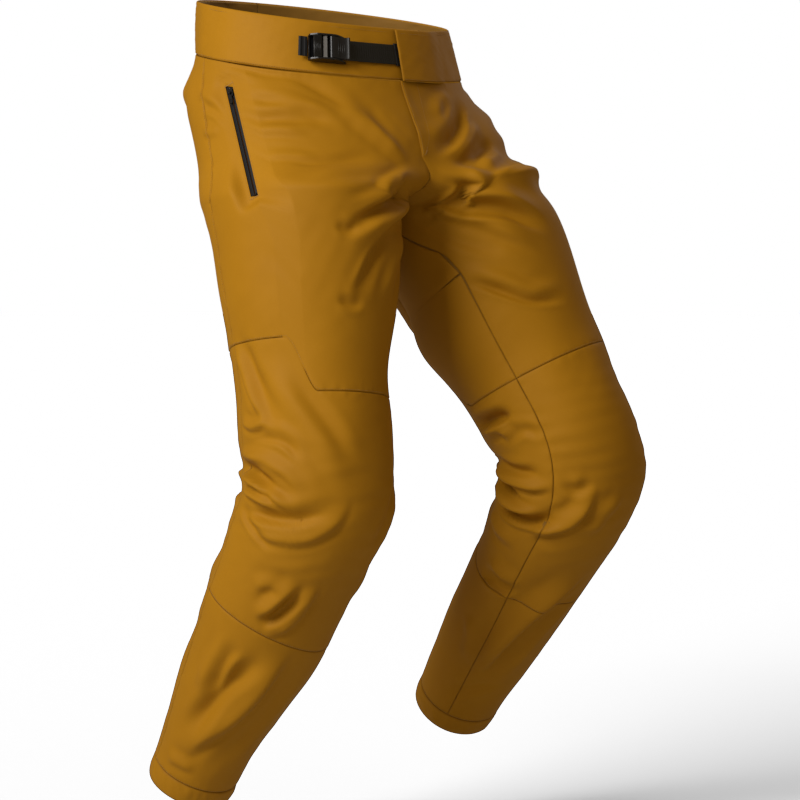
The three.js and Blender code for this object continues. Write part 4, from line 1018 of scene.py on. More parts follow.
def buildLegCloth(leg):
    label = leg["label"]
    gap = 0.0004
    seam, side, inSeam = garment["bandSeam"], garment["outSeam"], 1 + seams["inner"]
    u, v, grid, keep = frontPanel(leg)
    front = clothPiece(leg, grid, u, v, zipCut=True, lift=flyLift(leg))
    if leg["side"] > 0:
        outer, inner, cloth, near, pt = front
        front = (layOver(outer, pt[..., 0], pt[..., 1]), layOver(inner, pt[..., 0], pt[..., 1]), cloth, near, pt)
    addCloth(label + "_front_panel_cloth", onTrousers, [label + "_front_panel"], front, keep=keep)

    corner, back = gussetCorners["frontCorner"], gussetCorners["backCorner"]
    inner = [
        (seam, 1.0), (-0.10, 1.0), (-0.05, 1.0), (0.0, 1.0 - 0.001), (0.03, 0.962), (0.070, 0.915),
        (back[0], 1 + back[1]), ((back[0] + corner[0]) / 2, 1 + (back[1] + corner[1]) / 2),
        (corner[0] + 0.001, 1 + corner[1]), (0.15, inSeam), (0.229, inSeam)]
    innerRoute = route(inner)

    def backGrid(u, v):
        outEnd = np.interp(u, [0, 0.42, 0.60, 0.72, 1.0], [seam, -0.02, 0.060, 0.125, seams["kneeOut"]])
        L, R = np.stack([outEnd, side + 0 * u], -1), innerRoute(u)
        pt = L[:, None] * (1 - v[None, :, None]) + R[:, None] * v[None, :, None]
        bottom = kneeSeam(pt[-1:, :, 1]) - pt[-1:, :, 0]
        pt[..., 0] += bottom * (np.clip((u - 0.72) / 0.28, 0, 1) ** 1.5)[:, None]
        pt[..., 0] = np.clip(pt[..., 0], seam + gap / 2, None)
        pt[-1, :, 0] -= gap / 2
        pt[:, 0, 1] += gap / 1.2
        pt[:, -1, 1] -= gap / 1.2
        return pt

    backPanel = clothPiece(leg, backGrid, spacing(0.62, 0.0036), spacing(0.30, 0.0033))
    addCloth(label + "_back_panel_cloth", onTrousers, [label + "_back_panel"], backPanel)

    # gusset: from the crotch to the two corners
    frontSide = route([
        (0.004, 0.004), (0.026, innerEdge(0.026) - gap), (0.06, innerEdge(0.06) - gap),
        (corner[0] - 0.001, corner[1] - gap)])
    backSide = route([(0.004, -0.004), (0.03, -0.038 + gap), (0.070, -0.085 + gap), (back[0] - 0.001, back[1] + gap)])
    gusset = clothPiece(
        leg, coons(
            backSide, frontSide,
            lineAt(lambda x: 0.004 + 0 * x, lambda x: -0.004 + 0.008 * x),
            lineAt(
                lambda x: back[0] - 0.001 + (corner[0] - back[0]) * x,
                lambda x: back[1] + gap + (corner[1] - back[1] - 2 * gap) * x)),
        spacing(0.115, 0.0030), spacing(0.10, 0.0030))
    addCloth(label + "_thigh_gusset_cloth", onTrousers, [label + "_thigh_gusset"], gusset)

    # knee panels run in one piece from the thigh seam to the shin seam
    bend, shin = acrossKnee(leg), onShin(leg)
    frontShares, rearShares = (seams["inner"] + gap, side - gap), (side + gap, inSeam - gap)
    kneeSize, shinSize = (0.27, 0.25, 0.0025), (0.225, 0.19, 0.0028)
    cuffLine = lambda t: garment["cuffSeam"] + 0 * t
    kneeNodes = ("_knee_panel_upper", "_knee_bend_front", "_knee_panel_lower")
    calfNodes = ("_hamstring_panel", "_knee_bend_back", "_calf_panel_upper")
    panels = (
        ("_knee_panel_cloth", frontShares, kneeSeam, shinSeam, kneeSize, bend, kneeNodes),
        ("_calf_panel_cloth", rearShares, kneeSeam, shinSeam, kneeSize, bend, calfNodes),
        ("_shin_panel_cloth", frontShares, shinSeam, cuffLine, shinSize, shin, ("_shin_panel",)),
        ("_lower_calf_panel_cloth", rearShares, shinSeam, cuffLine, shinSize, shin, ("_calf_panel_lower",)),
    )
    for name, (t0, t1), upper, lower, (length, width, step), rideIt, nodes in panels:
        share = lambda x: t0 + (t1 - t0) * x
        edge = lambda t: lineAt(
            lambda x: upper(t) + gap / 2 + (lower(t) - gap - upper(t)) * x, lambda x: t + 0 * x)
        grid = coons(
            edge(t0), edge(t1),
            lineAt(lambda x: upper(share(x)) + gap / 2, share), lineAt(lambda x: lower(share(x)) - gap / 2, share))
        result = clothPiece(leg, grid, spacing(length, step), spacing(width, step))
        addCloth(label + name, rideIt, [label + node for node in nodes], result)
    hemCuff(leg)
    print(label, "leg cloth made")


def quarter(x):
    # rises along a quarter circle
    return 1 - np.sqrt(np.clip(1 - np.clip(x, 0, 1) ** 2, 0, 1))


cuffSizes = {"bulge": 0.0010, "gather": 0.00055, "thick": 0.0026}


def hemCuff(leg):
    # a narrow elastic hem, rounded at its lower edge and lightly gathered
    columns = 150
    t = np.arange(columns) / columns
    downs = np.array([0, 0.6, 1.4, 3, 6, 10, 14, 18, 20.5, 22.5, 24, 25, 25.4]) * 0.001
    paths = garment["cuffSeam"] + 0.0004 + downs
    P, T = np.meshgrid(paths, t, indexing="ij")
    here = formPoint(leg, P, T)
    f = (P - paths[0]) / (paths[-1] - paths[0])
    gathers = cuffSizes["gather"] * waves(here * (1, 1, 0.25), 0.0105, 31)
    gathers = gathers * np.sin(np.pi * np.clip(f * 1.1, 0, 1)) ** 0.5
    body = cuffSizes["bulge"] * np.sin(np.pi * f) - 0.0011 * (1 - ease((P - paths[0]) / 0.0016))
    body = body + 0.75 * clothHeight(leg, np.full_like(P, 0.7), T, here)
    tuck = cuffSizes["thick"] / 2 * quarter((f - 0.86) / 0.14)
    outer = formPoint(leg, P, T, -(body + gathers) + tuck)
    inner = formPoint(leg, P, T, -(body + gathers) - tuck + cuffSizes["thick"])
    down, across = stepsAlong(here, 0), stepsAlong(here, 1)
    # painted shade along the seam at the cuff's top
    near = 1 - ease(down / 0.0028)
    piece = closedSheet(
        leg["label"] + "_hem_cuff_cloth", outer, inner, np.stack([across, down], -1), near, "shell", wrap=True)
    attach(piece, leg["label"] + "_shin")
    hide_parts(leg["label"] + "_hem_cuff")


# ---- waistband ----
bandSizes = {
    "lift": 0.0059, "liftEnd": 0.088, "liftRun": 0.07, "underlap": 0.078,
    "thick": 0.0021, "liningDepth": 0.0027, "liningThick": 0.0014,
}


def bandPoint(a, p, depth):
    # shares round from the front, below zero on the wearer's right
    a, p, depth = (np.array(x, float) for x in np.broadcast_arrays(a, p, depth))
    right, left = formPoint(legs["right"], p, np.abs(a), depth), formPoint(legs["left"], p, np.abs(a), depth)
    out = np.where((a < 0)[..., None], right, left)
    out[..., 0] = np.where(np.abs(a) < 1e-6, 0, out[..., 0])
    return out


def bandLift(a):
    return bandSizes["lift"] * (1 - ease((a - bandSizes["liftEnd"]) / bandSizes["liftRun"]))


def bandPiece(name, node, a0, a1, depth, thick, lifted, material, slot, p0, p1):
    length = abs(a1 - a0) * 0.56
    v = spacing(length, 0.0040)
    high = p1 - p0
    first, last = np.array([0, 0.0006, 0.0016, 0.0030, 0.0050]), np.array([0.0050, 0.0030, 0.0016, 0.0007, 0])
    f = np.concatenate([first, np.linspace(0.0085, high - 0.0085, 13), high - last]) / high
    P, A = np.meshgrid(p0 + f * (p1 - p0), a0 + v * (a1 - a0), indexing="ij")
    here = bandPoint(A, P, 0.0)
    soft = 0.0006 * waves(here * (1, 1, 0.5), 0.060, 21) + 0.00025 * waves(here * (1, 1, 2.2), 0.016, 22)
    soft = soft * ease((P - p0) / 0.004)
    fromTop, fromSeam = (P - p0), (p1 - P)
    across = stepsAlong(here, 1)
    ends = np.minimum(across, across[:, -1:] - across)
    r = thick / 2
    top = r * quarter(1 - fromTop / r)
    roll = 0.0009 * (1 - ease(fromSeam / 0.0017)) + 0.0003 * (1 - ease(fromSeam / 0.005))
    endRound = 0.0008 * (1 - ease(ends / 0.0012))
    d = depth - soft - (bandLift(A) if lifted else 0)
    outer = bandPoint(A, P, d + top + roll + endRound)
    inner = bandPoint(A, P, d + thick - top - 0.2 * endRound)
    # painted shade along the lower seam and, a little weaker, at the band's ends
    near = np.maximum(1 - ease(fromSeam / 0.0028), 0.8 * (1 - ease(ends / 0.002)))
    cloth = np.stack([across, stepsAlong(here, 0)], -1)
    piece = closedSheet(name, outer, inner, cloth, near, material)
    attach(piece, "trousers")
    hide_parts(node)


def buildWaistband():
    top, seam, lap = -garment["rise"], garment["bandSeam"], bandSizes["underlap"]
    outer = (0, bandSizes["thick"]), ("shell", "shell_cloth"), (top, seam - 0.0002)
    lining = (
        bandSizes["liningDepth"], bandSizes["liningThick"]), ("lining", "lining_cloth"), (top + 0.0015, seam - 0.001)
    pieces = (
        ("right_waistband", -0.9996, lap, outer, False),
        ("left_waistband", -0.0110, 0.9996, outer, True),
        ("right_waistband_lining", -0.9996, lap - 0.002, lining, False),
        ("left_waistband_lining", 0.172, 0.9996, lining, False),
    )
    for node, a0, a1, (depths, looks, paths), lifted in pieces:
        bandPiece(node + "_cloth", node, a0, a1, *depths, lifted, *looks, *paths)
    print("waistband made")


for leg in legs.values():
    buildLegCloth(leg)
    buildSeamTapes(leg)
buildWaistband()

# ---- hard pieces: outlines pushed across, edges rounded ----
def evaluated(piece):
    # modifiers become plain mesh
    bpy.context.view_layer.update()
    mesh = bpy.data.meshes.new_from_object(piece.evaluated_get(bpy.context.evaluated_depsgraph_get()))
    piece.modifiers.clear()
    piece.data = mesh
    return piece


def unitAxes(x, y):
    x = unit(np.array(x, float))
    y = unit(np.array(y, float) - x * (np.array(y, float) @ x))
    return np.stack([x, y, np.cross(x, y)], 1)


def slab(outline, low, high, axis=1):
    # an outline pushed between two levels of one axis
    n = len(outline)
    points = [list(q) for _ in (low, high) for q in outline]
    for i, q in enumerate(points):
        q.insert(axis, low if i < n else high)
    faces = [tuple(range(n)), tuple(range(2 * n - 1, n - 1, -1))]
    faces += [(i, n + i, n + (i + 1) % n, (i + 1) % n) for i in range(n)]
    return points, faces


def block(x0, x1, y0, y1, z0, z1):
    return slab([(x0, z0), (x1, z0), (x1, z1), (x0, z1)], y0, y1)


def hardParts(name, parts, seat, material, bevel):
    # parts in millimetres of the seat's frame
    bm = bmesh.new()
    for points, faces in parts:
        verts = [bm.verts.new(seat["origin"] + seat["axes"] @ (np.array(q) * 0.001)) for q in points]
        for f in faces:
            bm.faces.new([verts[k] for k in f])
    bmesh.ops.recalc_face_normals(bm, faces=bm.faces)
    sharp = [e for e in bm.edges if len(e.link_faces) == 2 and e.calc_face_angle() > math.radians(28)]
    bmesh.ops.bevel(bm, geom=sharp, offset=bevel, segments=3, affect="EDGES", clamp_overlap=True)
    mesh = bpy.data.meshes.new(name)
    bm.to_mesh(mesh)
    bm.free()
    mesh.polygons.foreach_set("use_smooth", np.ones(len(mesh.polygons), bool))
    mesh.set_sharp_from_angle(angle=math.radians(36))
    return link(name, mesh, material)


def hardPiece(name, parts, seat, nodes, body, material, bevel):
    piece = hardParts(name, parts, seat, material, bevel)
    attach(piece, body)
    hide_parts(*nodes)


# ---- repeated small shapes laid along lines by Geometry Nodes ----
def rowTree():
    tree = bpy.data.node_groups.new("rowOfPieces", "GeometryNodeTree")
    face = tree.interface
    face.new_socket(name="Geometry", in_out="INPUT", socket_type="NodeSocketGeometry")
    given = (
        ("Pitch", "Float", 0.003), ("Length", "Float", 0.0022), ("Width", "Float", 0.0005),
        ("Height", "Float", 0.0004), ("Variation", "Float", 0.06), ("Seed", "Int", 7), ("Finish", "Material", None))
    for label, kind, value in given:
        socket = face.new_socket(name=label, in_out="INPUT", socket_type="NodeSocket" + kind)
        if value is not None:
            socket.default_value = value
    face.new_socket(name="Geometry", in_out="OUTPUT", socket_type="NodeSocketGeometry")
    nodes, links = tree.nodes, tree.links

    def add(kind, settings=None, out=0, **sockets):
        node = nodes.new(kind)
        for key, value in (settings or {}).items():
            setattr(node, key, value)
        for key, value in sockets.items():
            socket = node.inputs[int(key[1:])] if key[1:].isdigit() else node.inputs[key]
            if isinstance(value, bpy.types.NodeSocket):
                links.new(value, socket)
            else:
                socket.default_value = value
        return node.outputs[out] if node.outputs else node

    start = nodes.new("NodeGroupInput").outputs
    curve = add("GeometryNodeMeshToCurve", Mesh=start["Geometry"])
    spots = add("GeometryNodeResampleCurve", {"mode": "LENGTH"}, Curve=curve, Length=start["Pitch"])
    tangent = add("GeometryNodeInputTangent")
    outward = add("GeometryNodeInputNamedAttribute", {"data_type": "FLOAT_VECTOR"}, Name="outward")
    turn = add("FunctionNodeAlignRotationToVector", {"axis": "X"}, Vector=tangent)
    turn = add("FunctionNodeAlignRotationToVector", {"axis": "Z", "pivot_axis": "X"}, Rotation=turn, Vector=outward)
    grain = add("GeometryNodeMeshIcoSphere", Radius=0.5, Subdivisions=1)
    size = add("ShaderNodeCombineXYZ", X=start["Length"], Y=start["Width"], Z=start["Height"])
    low = add("ShaderNodeMath", {"operation": "SUBTRACT"}, i0=1.0, i1=start["Variation"])
    high = add("ShaderNodeMath", {"operation": "ADD"}, i0=1.0, i1=start["Variation"])
    share = add("FunctionNodeRandomValue", {"data_type": "FLOAT"}, out=1, i2=low, i3=high, Seed=start["Seed"])
    scaled = add("ShaderNodeVectorMath", {"operation": "SCALE"}, i0=size, Scale=share)
    laid = add("GeometryNodeInstanceOnPoints", Points=spots, Instance=grain, Rotation=turn, Scale=scaled)
    whole = add("GeometryNodeRealizeInstances", Geometry=laid)
    done = add("GeometryNodeSetMaterial", Geometry=whole, Material=start["Finish"])
    end = nodes.new("NodeGroupOutput")
    links.new(done, end.inputs[0])
    return tree


rowsTree = rowTree()


def rowPiece(name, rows, material, **sizes):
    # rows: pairs of point and outward arrays; each row becomes a line of small pieces
    points, outs, edges = [], [], []
    for line, out in rows:
        edges += [(len(points) + i, len(points) + i + 1) for i in range(len(line) - 1)]
        points += [tuple(q) for q in line]
        outs += [tuple(q) for q in np.broadcast_to(out, line.shape)]
    mesh = bpy.data.meshes.new(name)
    mesh.from_pydata(points, edges, [])
    mesh.attributes.new("outward", "FLOAT_VECTOR", "POINT").data.foreach_set(
        "vector", np.array(outs, np.float32).ravel())
    piece = bpy.data.objects.new(name, mesh)
    scene.collection.objects.link(piece)
    modifier = piece.modifiers.new("rows", "NODES")
    modifier.node_group = rowsTree
    wanted = {"Finish": finishes[material], **sizes}
    for item in rowsTree.interface.items_tree:
        if item.in_out == "INPUT" and item.name in wanted:
            modifier[item.identifier] = wanted[item.name]
    evaluated(piece)
    piece.data.polygons.foreach_set("use_smooth", np.ones(len(piece.data.polygons), bool))
    if not piece.data.materials:
        piece.data.materials.append(finishes[material])
    return piece


# ---- zips ----
zipLook = {"coilAt": 0.00175, "pitch": 0.00150, "thick": 0.0008, "overrun": 0.007}


def inSeat(seat, x, y, z):
    parts = np.stack(np.broadcast_arrays(x, y, z), -1)
    return seat["origin"] + parts @ seat["axes"].T


def zipTape(name, node, seat, length, way, wavy):
    # one woven tape with a rounded spine where the coil is sewn on
    y = np.linspace(-zipLook["overrun"], length + zipLook["overrun"], 100)
    x = np.array([
        0.00065, 0.0008, 0.0011, 0.0015, 0.0021, 0.0028, 0.0036, 0.0050, 0.0066, 0.0082, 0.0096, 0.0104, 0.0109])
    Y, X = np.meshgrid(y, x, indexing="ij")
    spine = 0.00075 * np.exp(-(((X - 0.0017) / 0.0011) ** 2))
    spine = spine * ease((Y + 0.002) / 0.003) * ease((length + 0.002 - Y) / 0.003)
    sway = wavy * (waves(
        np.stack([Y, X * 0.3, 0 * X], -1), 0.020, 41 + int(way > 0)) - 1.2) * ease((X - 0.003) / 0.006)
    edge = 0.00032 * (ease((0.0012 - X) / 0.0006) + ease((X - 0.0103) / 0.0006))
    outer = inSeat(seat, way * X, Y, sway + spine - edge)
    inner = inSeat(seat, way * X, Y, sway - zipLook["thick"] + edge * 0.8)
    piece = closedSheet(name, outer, inner, np.stack([X, Y], -1), np.zeros(X.shape), "webbing")
    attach(piece, "trousers")
    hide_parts(node)
    middle = np.full(2, way * zipLook["coilAt"])
    ends = np.array([0.0006, length - 0.0006])
    line = inSeat(seat, middle, ends, np.full(2, -0.0010))
    coil = rowPiece(
        name + "_coil", [(line, seat["axes"][:, 2])], "plastic", Pitch=zipLook["pitch"] * 0.5, Length=0.00062,
        Width=0.0021, Height=0.0012, Variation=0.0)
    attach(coil, "trousers")


def zipStops(name, seat, length):
    parts = []
    for way in (-1, 1):
        for y in (-3.2, length * 1000 + 0.6):
            a, b = sorted((way * 0.7, way * 3.3))
            parts.append(block(a, b, y, y + 2.6, -1.8, 1.8))
    stops = hardParts(name, parts, seat, "metal", 0.0005)
    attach(stops, "trousers")


def roundedOutline(points, radius, steps=3):
    # corners of an outline cut to arcs
    out = []
    pts = [np.array(q, float) for q in points]
    for a, b, c in zip(pts[-1:] + pts[:-1], pts, pts[1:] + pts[:1]):
        r = min(radius, 0.45 * np.linalg.norm(a - b), 0.45 * np.linalg.norm(c - b))
        start, end = b + unit(a - b) * r, b + unit(c - b) * r
        for k in range(steps + 1):
            f = k / steps
            out.append(tuple((1 - f) ** 2 * start + 2 * f * (1 - f) * b + f * f * end))
    return out


def zipHardware(prefix, seat):
    plate = roundedOutline([(-4.1, 0.3), (4.1, 0.3), (3.4, 10.9), (-3.4, 10.9)], 1.6)
    parts = [slab(plate, 1.35, 2.6, 2), slab(plate, -3.2, -1.95, 2), block(-0.3, 0.3, 0.3, 3.8, -2.0, 1.4)]
    for x0, x1 in ((-2.2, -1.15), (1.15, 2.2)):
        ear = roundedOutline([(5.2, 2.2), (7.8, 2.2), (7.8, 5.5), (5.2, 5.5)], 1.1)
        parts.append(slab(ear, x0, x1, 0))
    hardPiece(
        prefix + "_slider_cast", parts, seat, [prefix + "_slider"], prefix + "_slider", "metal",
        0.00022)
    ring = [(6.5 + 1.5 * math.cos(a), 4.5 + 1.5 * math.sin(a)) for a in np.linspace(0, 2 * math.pi, 15)[:-1]]
    tab = roundedOutline([(-2.5, 10.6), (2.5, 10.6), (2.2, 22.4), (-2.2, 22.4)], 1.5)
    neck = block(-0.75, 0.75, 7.4, 12.0, 3.95, 5.05)
    grip = [block(-1.5, 1.5, y, y + 0.6, 5.1, 5.55) for y in (15.0, 16.6, 18.2, 19.8)]
    hardPiece(
        prefix + "_puller_tab", [slab(ring, -0.75, 0.75, 0), neck, slab(tab, 3.8, 5.2, 2), *grip], seat,
        [prefix + "_puller"], prefix + "_puller", "metal", 0.00025)


def buildZips():
    pockets = {"right": ("rear_tape", "front_tape"), "left": ("front_tape", "rear_tape")}
    for label, (plus, minus) in pockets.items():
        seat, prefix, length = zipSeats[label], label + "_pocket_zip", zipSizes["pocketLength"]
        for way, tape in ((1, plus), (-1, minus)):
            zipTape(prefix + "_" + tape + "_woven", prefix + "_" + tape, seat, length, way, 0.00008)
        zipStops(prefix + "_stops", seat, length)
        zipHardware(prefix, seat)
    seat, length = zipSeats["fly"], zipSizes["flyLength"]
    for way, tape in ((1, "right_tape"), (-1, "left_tape")):
        zipTape("fly_zip_" + tape + "_woven", "fly_zip_" + tape, seat, length, way, 0.00006)
    zipStops("fly_zip_stops", seat, length)
    zipHardware("fly_zip", seat)
    print("zips made")


# ---- fly facing and shield, pocket bags ----
flyCloth = {
    "facing": ((6.6, 0.75), (11.0, 0.9), (12.6, 2.2), (14.0, 4.4), (17.0, 5.15), (22.8, 5.3)),
    "shield": (
        (12.8, -4.6), (4.0, -4.7), (-4.0, -4.5), (-11.6, -4.5), (-13.2, -3.0), (-13.5, 2.2), (-14.6, 4.7),
        (-18.0, 5.2), (-22.8, 5.3)),
    "thick": 0.0010, "overrun": 0.006,
}


def buildFlyCloth():
    seat = zipSeats["fly"]
    for name in ("facing", "shield"):
        line = smoothLine(np.array(flyCloth[name]) * 0.001, 46)
        y = np.linspace(-flyCloth["overrun"], zipSizes["flyLength"] + flyCloth["overrun"], 60)
        t = np.gradient(line, axis=0)
        normal = np.stack([-t[:, 1], t[:, 0]], -1) / np.linalg.norm(t, axis=1)[:, None]
        spread = np.broadcast_to(y[:, None, None], (len(y), len(line), 1))
        flat = np.concatenate([np.broadcast_to(line[None], (len(y), *line.shape)), spread], -1)
        soft = 0.00018 * waves(flat, 0.014, 51)
        edge = np.minimum(np.arange(len(line)), np.arange(len(line))[::-1])
        edge = np.minimum(edge[None, :], np.minimum(np.arange(len(y)), np.arange(len(y))[::-1])[:, None])
        half = flyCloth["thick"] / 2 * (1 - 0.6 * np.exp(-(edge / 0.9) ** 2))
        up = line[None] + normal[None] * (soft + half)[..., None]
        down = line[None] + normal[None] * (soft - half)[..., None]
        Y = spread[..., 0]
        outer, inner = inSeat(seat, -up[..., 0], Y, up[..., 1]), inSeat(seat, -down[..., 0], Y, down[..., 1])
        cloth = np.stack([Y, np.broadcast_to(np.arange(len(line)) * 0.0006, Y.shape)], -1)
        piece = closedSheet("fly_" + name + "_cloth", outer, inner, cloth, np.zeros(Y.shape), "lining")
        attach(piece, "trousers")
        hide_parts("fly_" + name)


bagSizes = {"paths": (-0.134, 0.051), "shares": (0.222, 0.400), "depth": 0.0030, "room": 0.0022, "corner": 0.3}


def buildPocketBag(leg):
    # two soft layers sewn together round the edge, lying behind the front panel
    (p0, p1), (t0, t1) = bagSizes["paths"], bagSizes["shares"]
    U, V = np.meshgrid(np.linspace(0, 1, 70), np.linspace(0, 1, 36), indexing="ij")
    corner = bagSizes["corner"]
    low = ease((U - 1 + corner) / corner)
    bend = low * ease((V - 1 + corner) / corner) + low * ease((corner - V) / corner)
    P, T = p0 + (p1 - p0) * (U - 0.06 * bend), t0 + (t1 - t0) * (0.5 + (V - 0.5) * (1 - 0.10 * bend))
    here = formPoint(leg, P, T)
    rim = np.minimum(np.minimum(U, 1 - U) * 0.17, np.minimum(V, 1 - V) * 0.08)
    full = ease(rim / 0.010)
    base = bagSizes["depth"] - np.minimum(clothHeight(leg, P, T, here), 0.0)
    outward = formNormal(leg, P, T, here)
    near = base + bagSizes["room"] * 0.4 * (1 - full) + 0.0002 * waves(here, 0.02, 61)
    far = base + bagSizes["room"] * (0.45 + 0.55 * full) + 0.0006 * waves(here, 0.024, 62) * full + 0.0006
    outer, inner = here - outward * near[..., None], here - outward * far[..., None]
    cloth = np.stack([stepsAlong(here, 1), stepsAlong(here, 0)], -1)
    # the rim gets painted shade at half strength
    piece = closedSheet(leg["label"] + "_pocket_bag_cloth", outer, inner, cloth, 0.5 * (1 - full), "lining")
    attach(piece, "trousers")
    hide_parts(leg["label"] + "_pocket_bag")


# ---- ladder strap, its tab and the buckle ----
strapSizes = {
    "centre": (-0.002279, 0.221400, 0.010135), "up": (0, -0.1784, 0.9840), "radius": 0.2702, "flare": 0.443,
    "start": -0.4296, "end": -0.0307, "tabStart": -0.0296, "tabEnd": 0.1326, "half": 0.011, "rail": 0.0026,
    "pitch": 0.003, "low": 0.0007, "high": 0.0017, "under": 0.0009,
    "webStart": -0.4962, "webEnd": -0.4563, "webLow": -0.0046, "webHigh": -0.0034,
}


def onStrap(angle, h, out):
    s = strapSizes
    up = unit(np.array(s["up"]))
    flatY = np.cross(up, (1.0, 0, 0))
    r = s["radius"] - h * s["flare"] + out
    across = (r * np.sin(angle))[..., None] * np.array((1.0, 0, 0))
    return np.array(s["centre"]) + across - (r * np.cos(angle))[..., None] * flatY + h[..., None] * up


def strapGrid(a0, a1, step, half):
    count = max(4, int((a1 - a0) * strapSizes["radius"] / step))
    h = half * np.array([
        -1, -0.985, -0.95, -0.88, -0.80, -0.76, -0.70, -0.45, -0.15, 0.15, 0.45, 0.70, 0.76, 0.80, 0.88, 0.95, 0.985,
        1])
    return np.meshgrid(np.linspace(a0, a1, count), h, indexing="ij")


def atEdge(H, half):
    return np.clip((np.abs(H) / half - 0.88) / 0.12, 0, 1) ** 2


def strapSheet(name, node, A, H, outs, ins, material, body):
    cloth = np.stack([H, A * strapSizes["radius"]], -1)
    piece = closedSheet(name, onStrap(A, H, outs), onStrap(A, H, ins), cloth, np.zeros(A.shape), material)
    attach(piece, body)
    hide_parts(node)


def buildStrap():
    s = strapSizes
    A, H = strapGrid(s["start"], s["end"], 0.00036, s["half"])
    f = ((A - s["start"]) * s["radius"] / s["pitch"]) % 1.0
    saw = np.where(f < 0.72, f / 0.72, (1 - f) / 0.28)
    inside = 1 - ease((np.abs(H) - s["half"] + s["rail"]) / 0.0004)
    tail = ease((s["end"] - 0.004 - A) / 0.004)
    corner = 0.0004 * atEdge(H, s["half"])
    outs = s["low"] + (s["high"] - s["low"]) * (saw * inside + 0.55 * (1 - inside)) * tail - corner
    strapSheet(
        "ladder_strap_moulded", "ladder_strap", A, H, outs, -s["under"] + corner, "plastic", "strap")
    half = s["half"] + 0.0015
    A, H = strapGrid(s["tabStart"], s["tabEnd"], 0.0012, half)
    corner = 0.0005 * atEdge(H, half)
    weave = lambda H: 0.00012 * np.sin(H * 2 * np.pi / 0.0021)
    folded = 0.00035 * (1 - ease((A - s["tabStart"]) * s["radius"] / 0.008)) + weave(H)
    strapSheet(
        "strap_tab_webbing", "strap_tab", A, H, 0.00065 + folded - corner, -0.0009 + corner, "webbing", "strap")
    A, H = strapGrid(s["webStart"], s["webEnd"], 0.0006, s["half"])
    corner = 0.0004 * atEdge(H, s["half"])
    rib = weave(H)
    along = (A - s["webStart"]) * s["radius"]
    bar = 0.0009 * np.exp(-((along - 0.0022) / 0.0011) ** 2) + 0.0006 * np.exp(-((along - 0.0080) / 0.0009) ** 2)
    strapSheet(
        "buckle_webbing_loop", "buckle_webbing", A, H, s["webHigh"] + rib + bar - corner, s["webLow"] + corner,
        "webbing", "trousers")
    print("strap made")


buckleSizes = {
    "origin": (-0.09917, -0.02680, -0.03486), "x": (0.9172, -0.3921, -0.0711), "y": (0.1613, 0.2023, 0.9660),
    "half": 23, "width": 15.5, "wall": 2, "leverX": 3, "leverZ": 5.6, "pawlX": -11, "pawlZ": 5.2,
}


def buildBuckle():
    b = buckleSizes
    seat = {"origin": np.array(b["origin"]), "axes": unitAxes(b["x"], b["y"])}
    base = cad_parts["buckle_base"]
    local = (np.array([base.matrix_world @ v.co for v in base.data.vertices]) - seat["origin"]) @ seat["axes"] * 1000
    floor = float(local[:, 2].min())
    L, W, inner, top = b["half"], b["width"], b["width"] - b["wall"], floor + 1.4
    lx, lz, px, pz = b["leverX"], b["leverZ"], b["pawlX"], b["pawlZ"]
    side = [(-L, floor), (L, floor), (L, top + 1.4), (L - 6, 3.2)]
    side += [(lx + 5, 8.4), (lx - 4, 8.6), (px - 3, 7.8), (-L, 2.2)]
    wall = roundedOutline(side, 1.8)
    parts = [block(-L, L - 4, -W + 0.4, W - 0.4, floor, top), slab(wall, -W, -inner), slab(wall, inner, W)]
    # round bosses over the pins, a crossbar for the webbing
    for cx, cz, r in ((lx, lz, 2.3), (px, pz, 1.9)):
        disc = [(cx + r * math.cos(a), cz + r * math.sin(a)) for a in np.linspace(0, 2 * math.pi, 25)[:-1]]
        parts += [slab(disc, -W - 0.35, -W + 0.3), slab(disc, W - 0.3, W + 0.35)]
    parts.append(block(-L, -L + 2.0, -inner, inner, top - 0.2, top + 1.5))
    hardPiece("buckle_base_moulded", parts, seat, ["buckle_base"], "trousers", "plastic", 0.00035)
    turns = [math.pi * (0.55 + 0.9 * i / 8) for i in range(9)]
    boss = [(lx + 2.7 * math.cos(a), lz + 2.7 * math.sin(a)) for a in turns]
    handle = [
        (lx - 0.6, 2.2), (lx + 1.6, 2.6), (lx + 4, 4), (lx + 12, 4.3), (lx + 19, 5.6), (lx + 21.5, 8.4),
        (lx + 19.6, 8.8), (lx + 17, 7.2), (lx + 9, 6.4), (lx + 3, 8.4)]
    half = inner - 0.5
    ribs = [
        block(x, x + 0.9, -half + 2.4, half - 2.4, z, z + 1.0) for x,
        z in ((lx + 7.2, 6.4), (lx + 9.6, 5.9), (lx + 12.0, 6.0), (lx + 14.4, 6.3))]
    hardPiece(
        "ratchet_lever_moulded", [slab(boss + handle, -half, half), *ribs], seat, ["ratchet_lever"], "lever",
        "plastic", 0.0004)
    tab = [
        (px - 8.5, 7.6), (px - 9, 6.2), (px - 3, 4.4), (px - 1.2, 3.2), (px + 3.6, 2.5), (px + 4.4, 2.9),
        (px + 2.4, 5.6), (px + 1, 7.3), (px - 3, 8)]
    grip = [block(x, x + 0.7, -half + 2.0, half - 2.0, 7.4, 8.5) for x in (
        px - 7.4, px - 5.9, px - 4.4, px - 2.9, px - 1.4)]
    hardPiece(
        "release_pawl_moulded", [slab(tab, -half, half), *grip], seat, ["release_pawl"], "pawl", "plastic",
        0.0003)
    # leaf spring: from its fixed end to the pawl, baked where it stands and riding on no body
    ends = np.array([(-3.2, 6.65), (px + 3.6, 5.15)])
    line = ends[0] + np.linspace(0, 1, 25)[:, None] * (ends[1] - ends[0])
    leaf = [(x, z + 0.22) for x, z in line] + [(x, z - 0.22) for x, z in line[::-1]]
    spring = hardParts("pawl_spring_leaf", [slab(leaf, -inner + 0.5, inner - 0.5)], seat, "steel", 0.00006)
    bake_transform(spring)
    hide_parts("pawl_spring")
    print("buckle made")


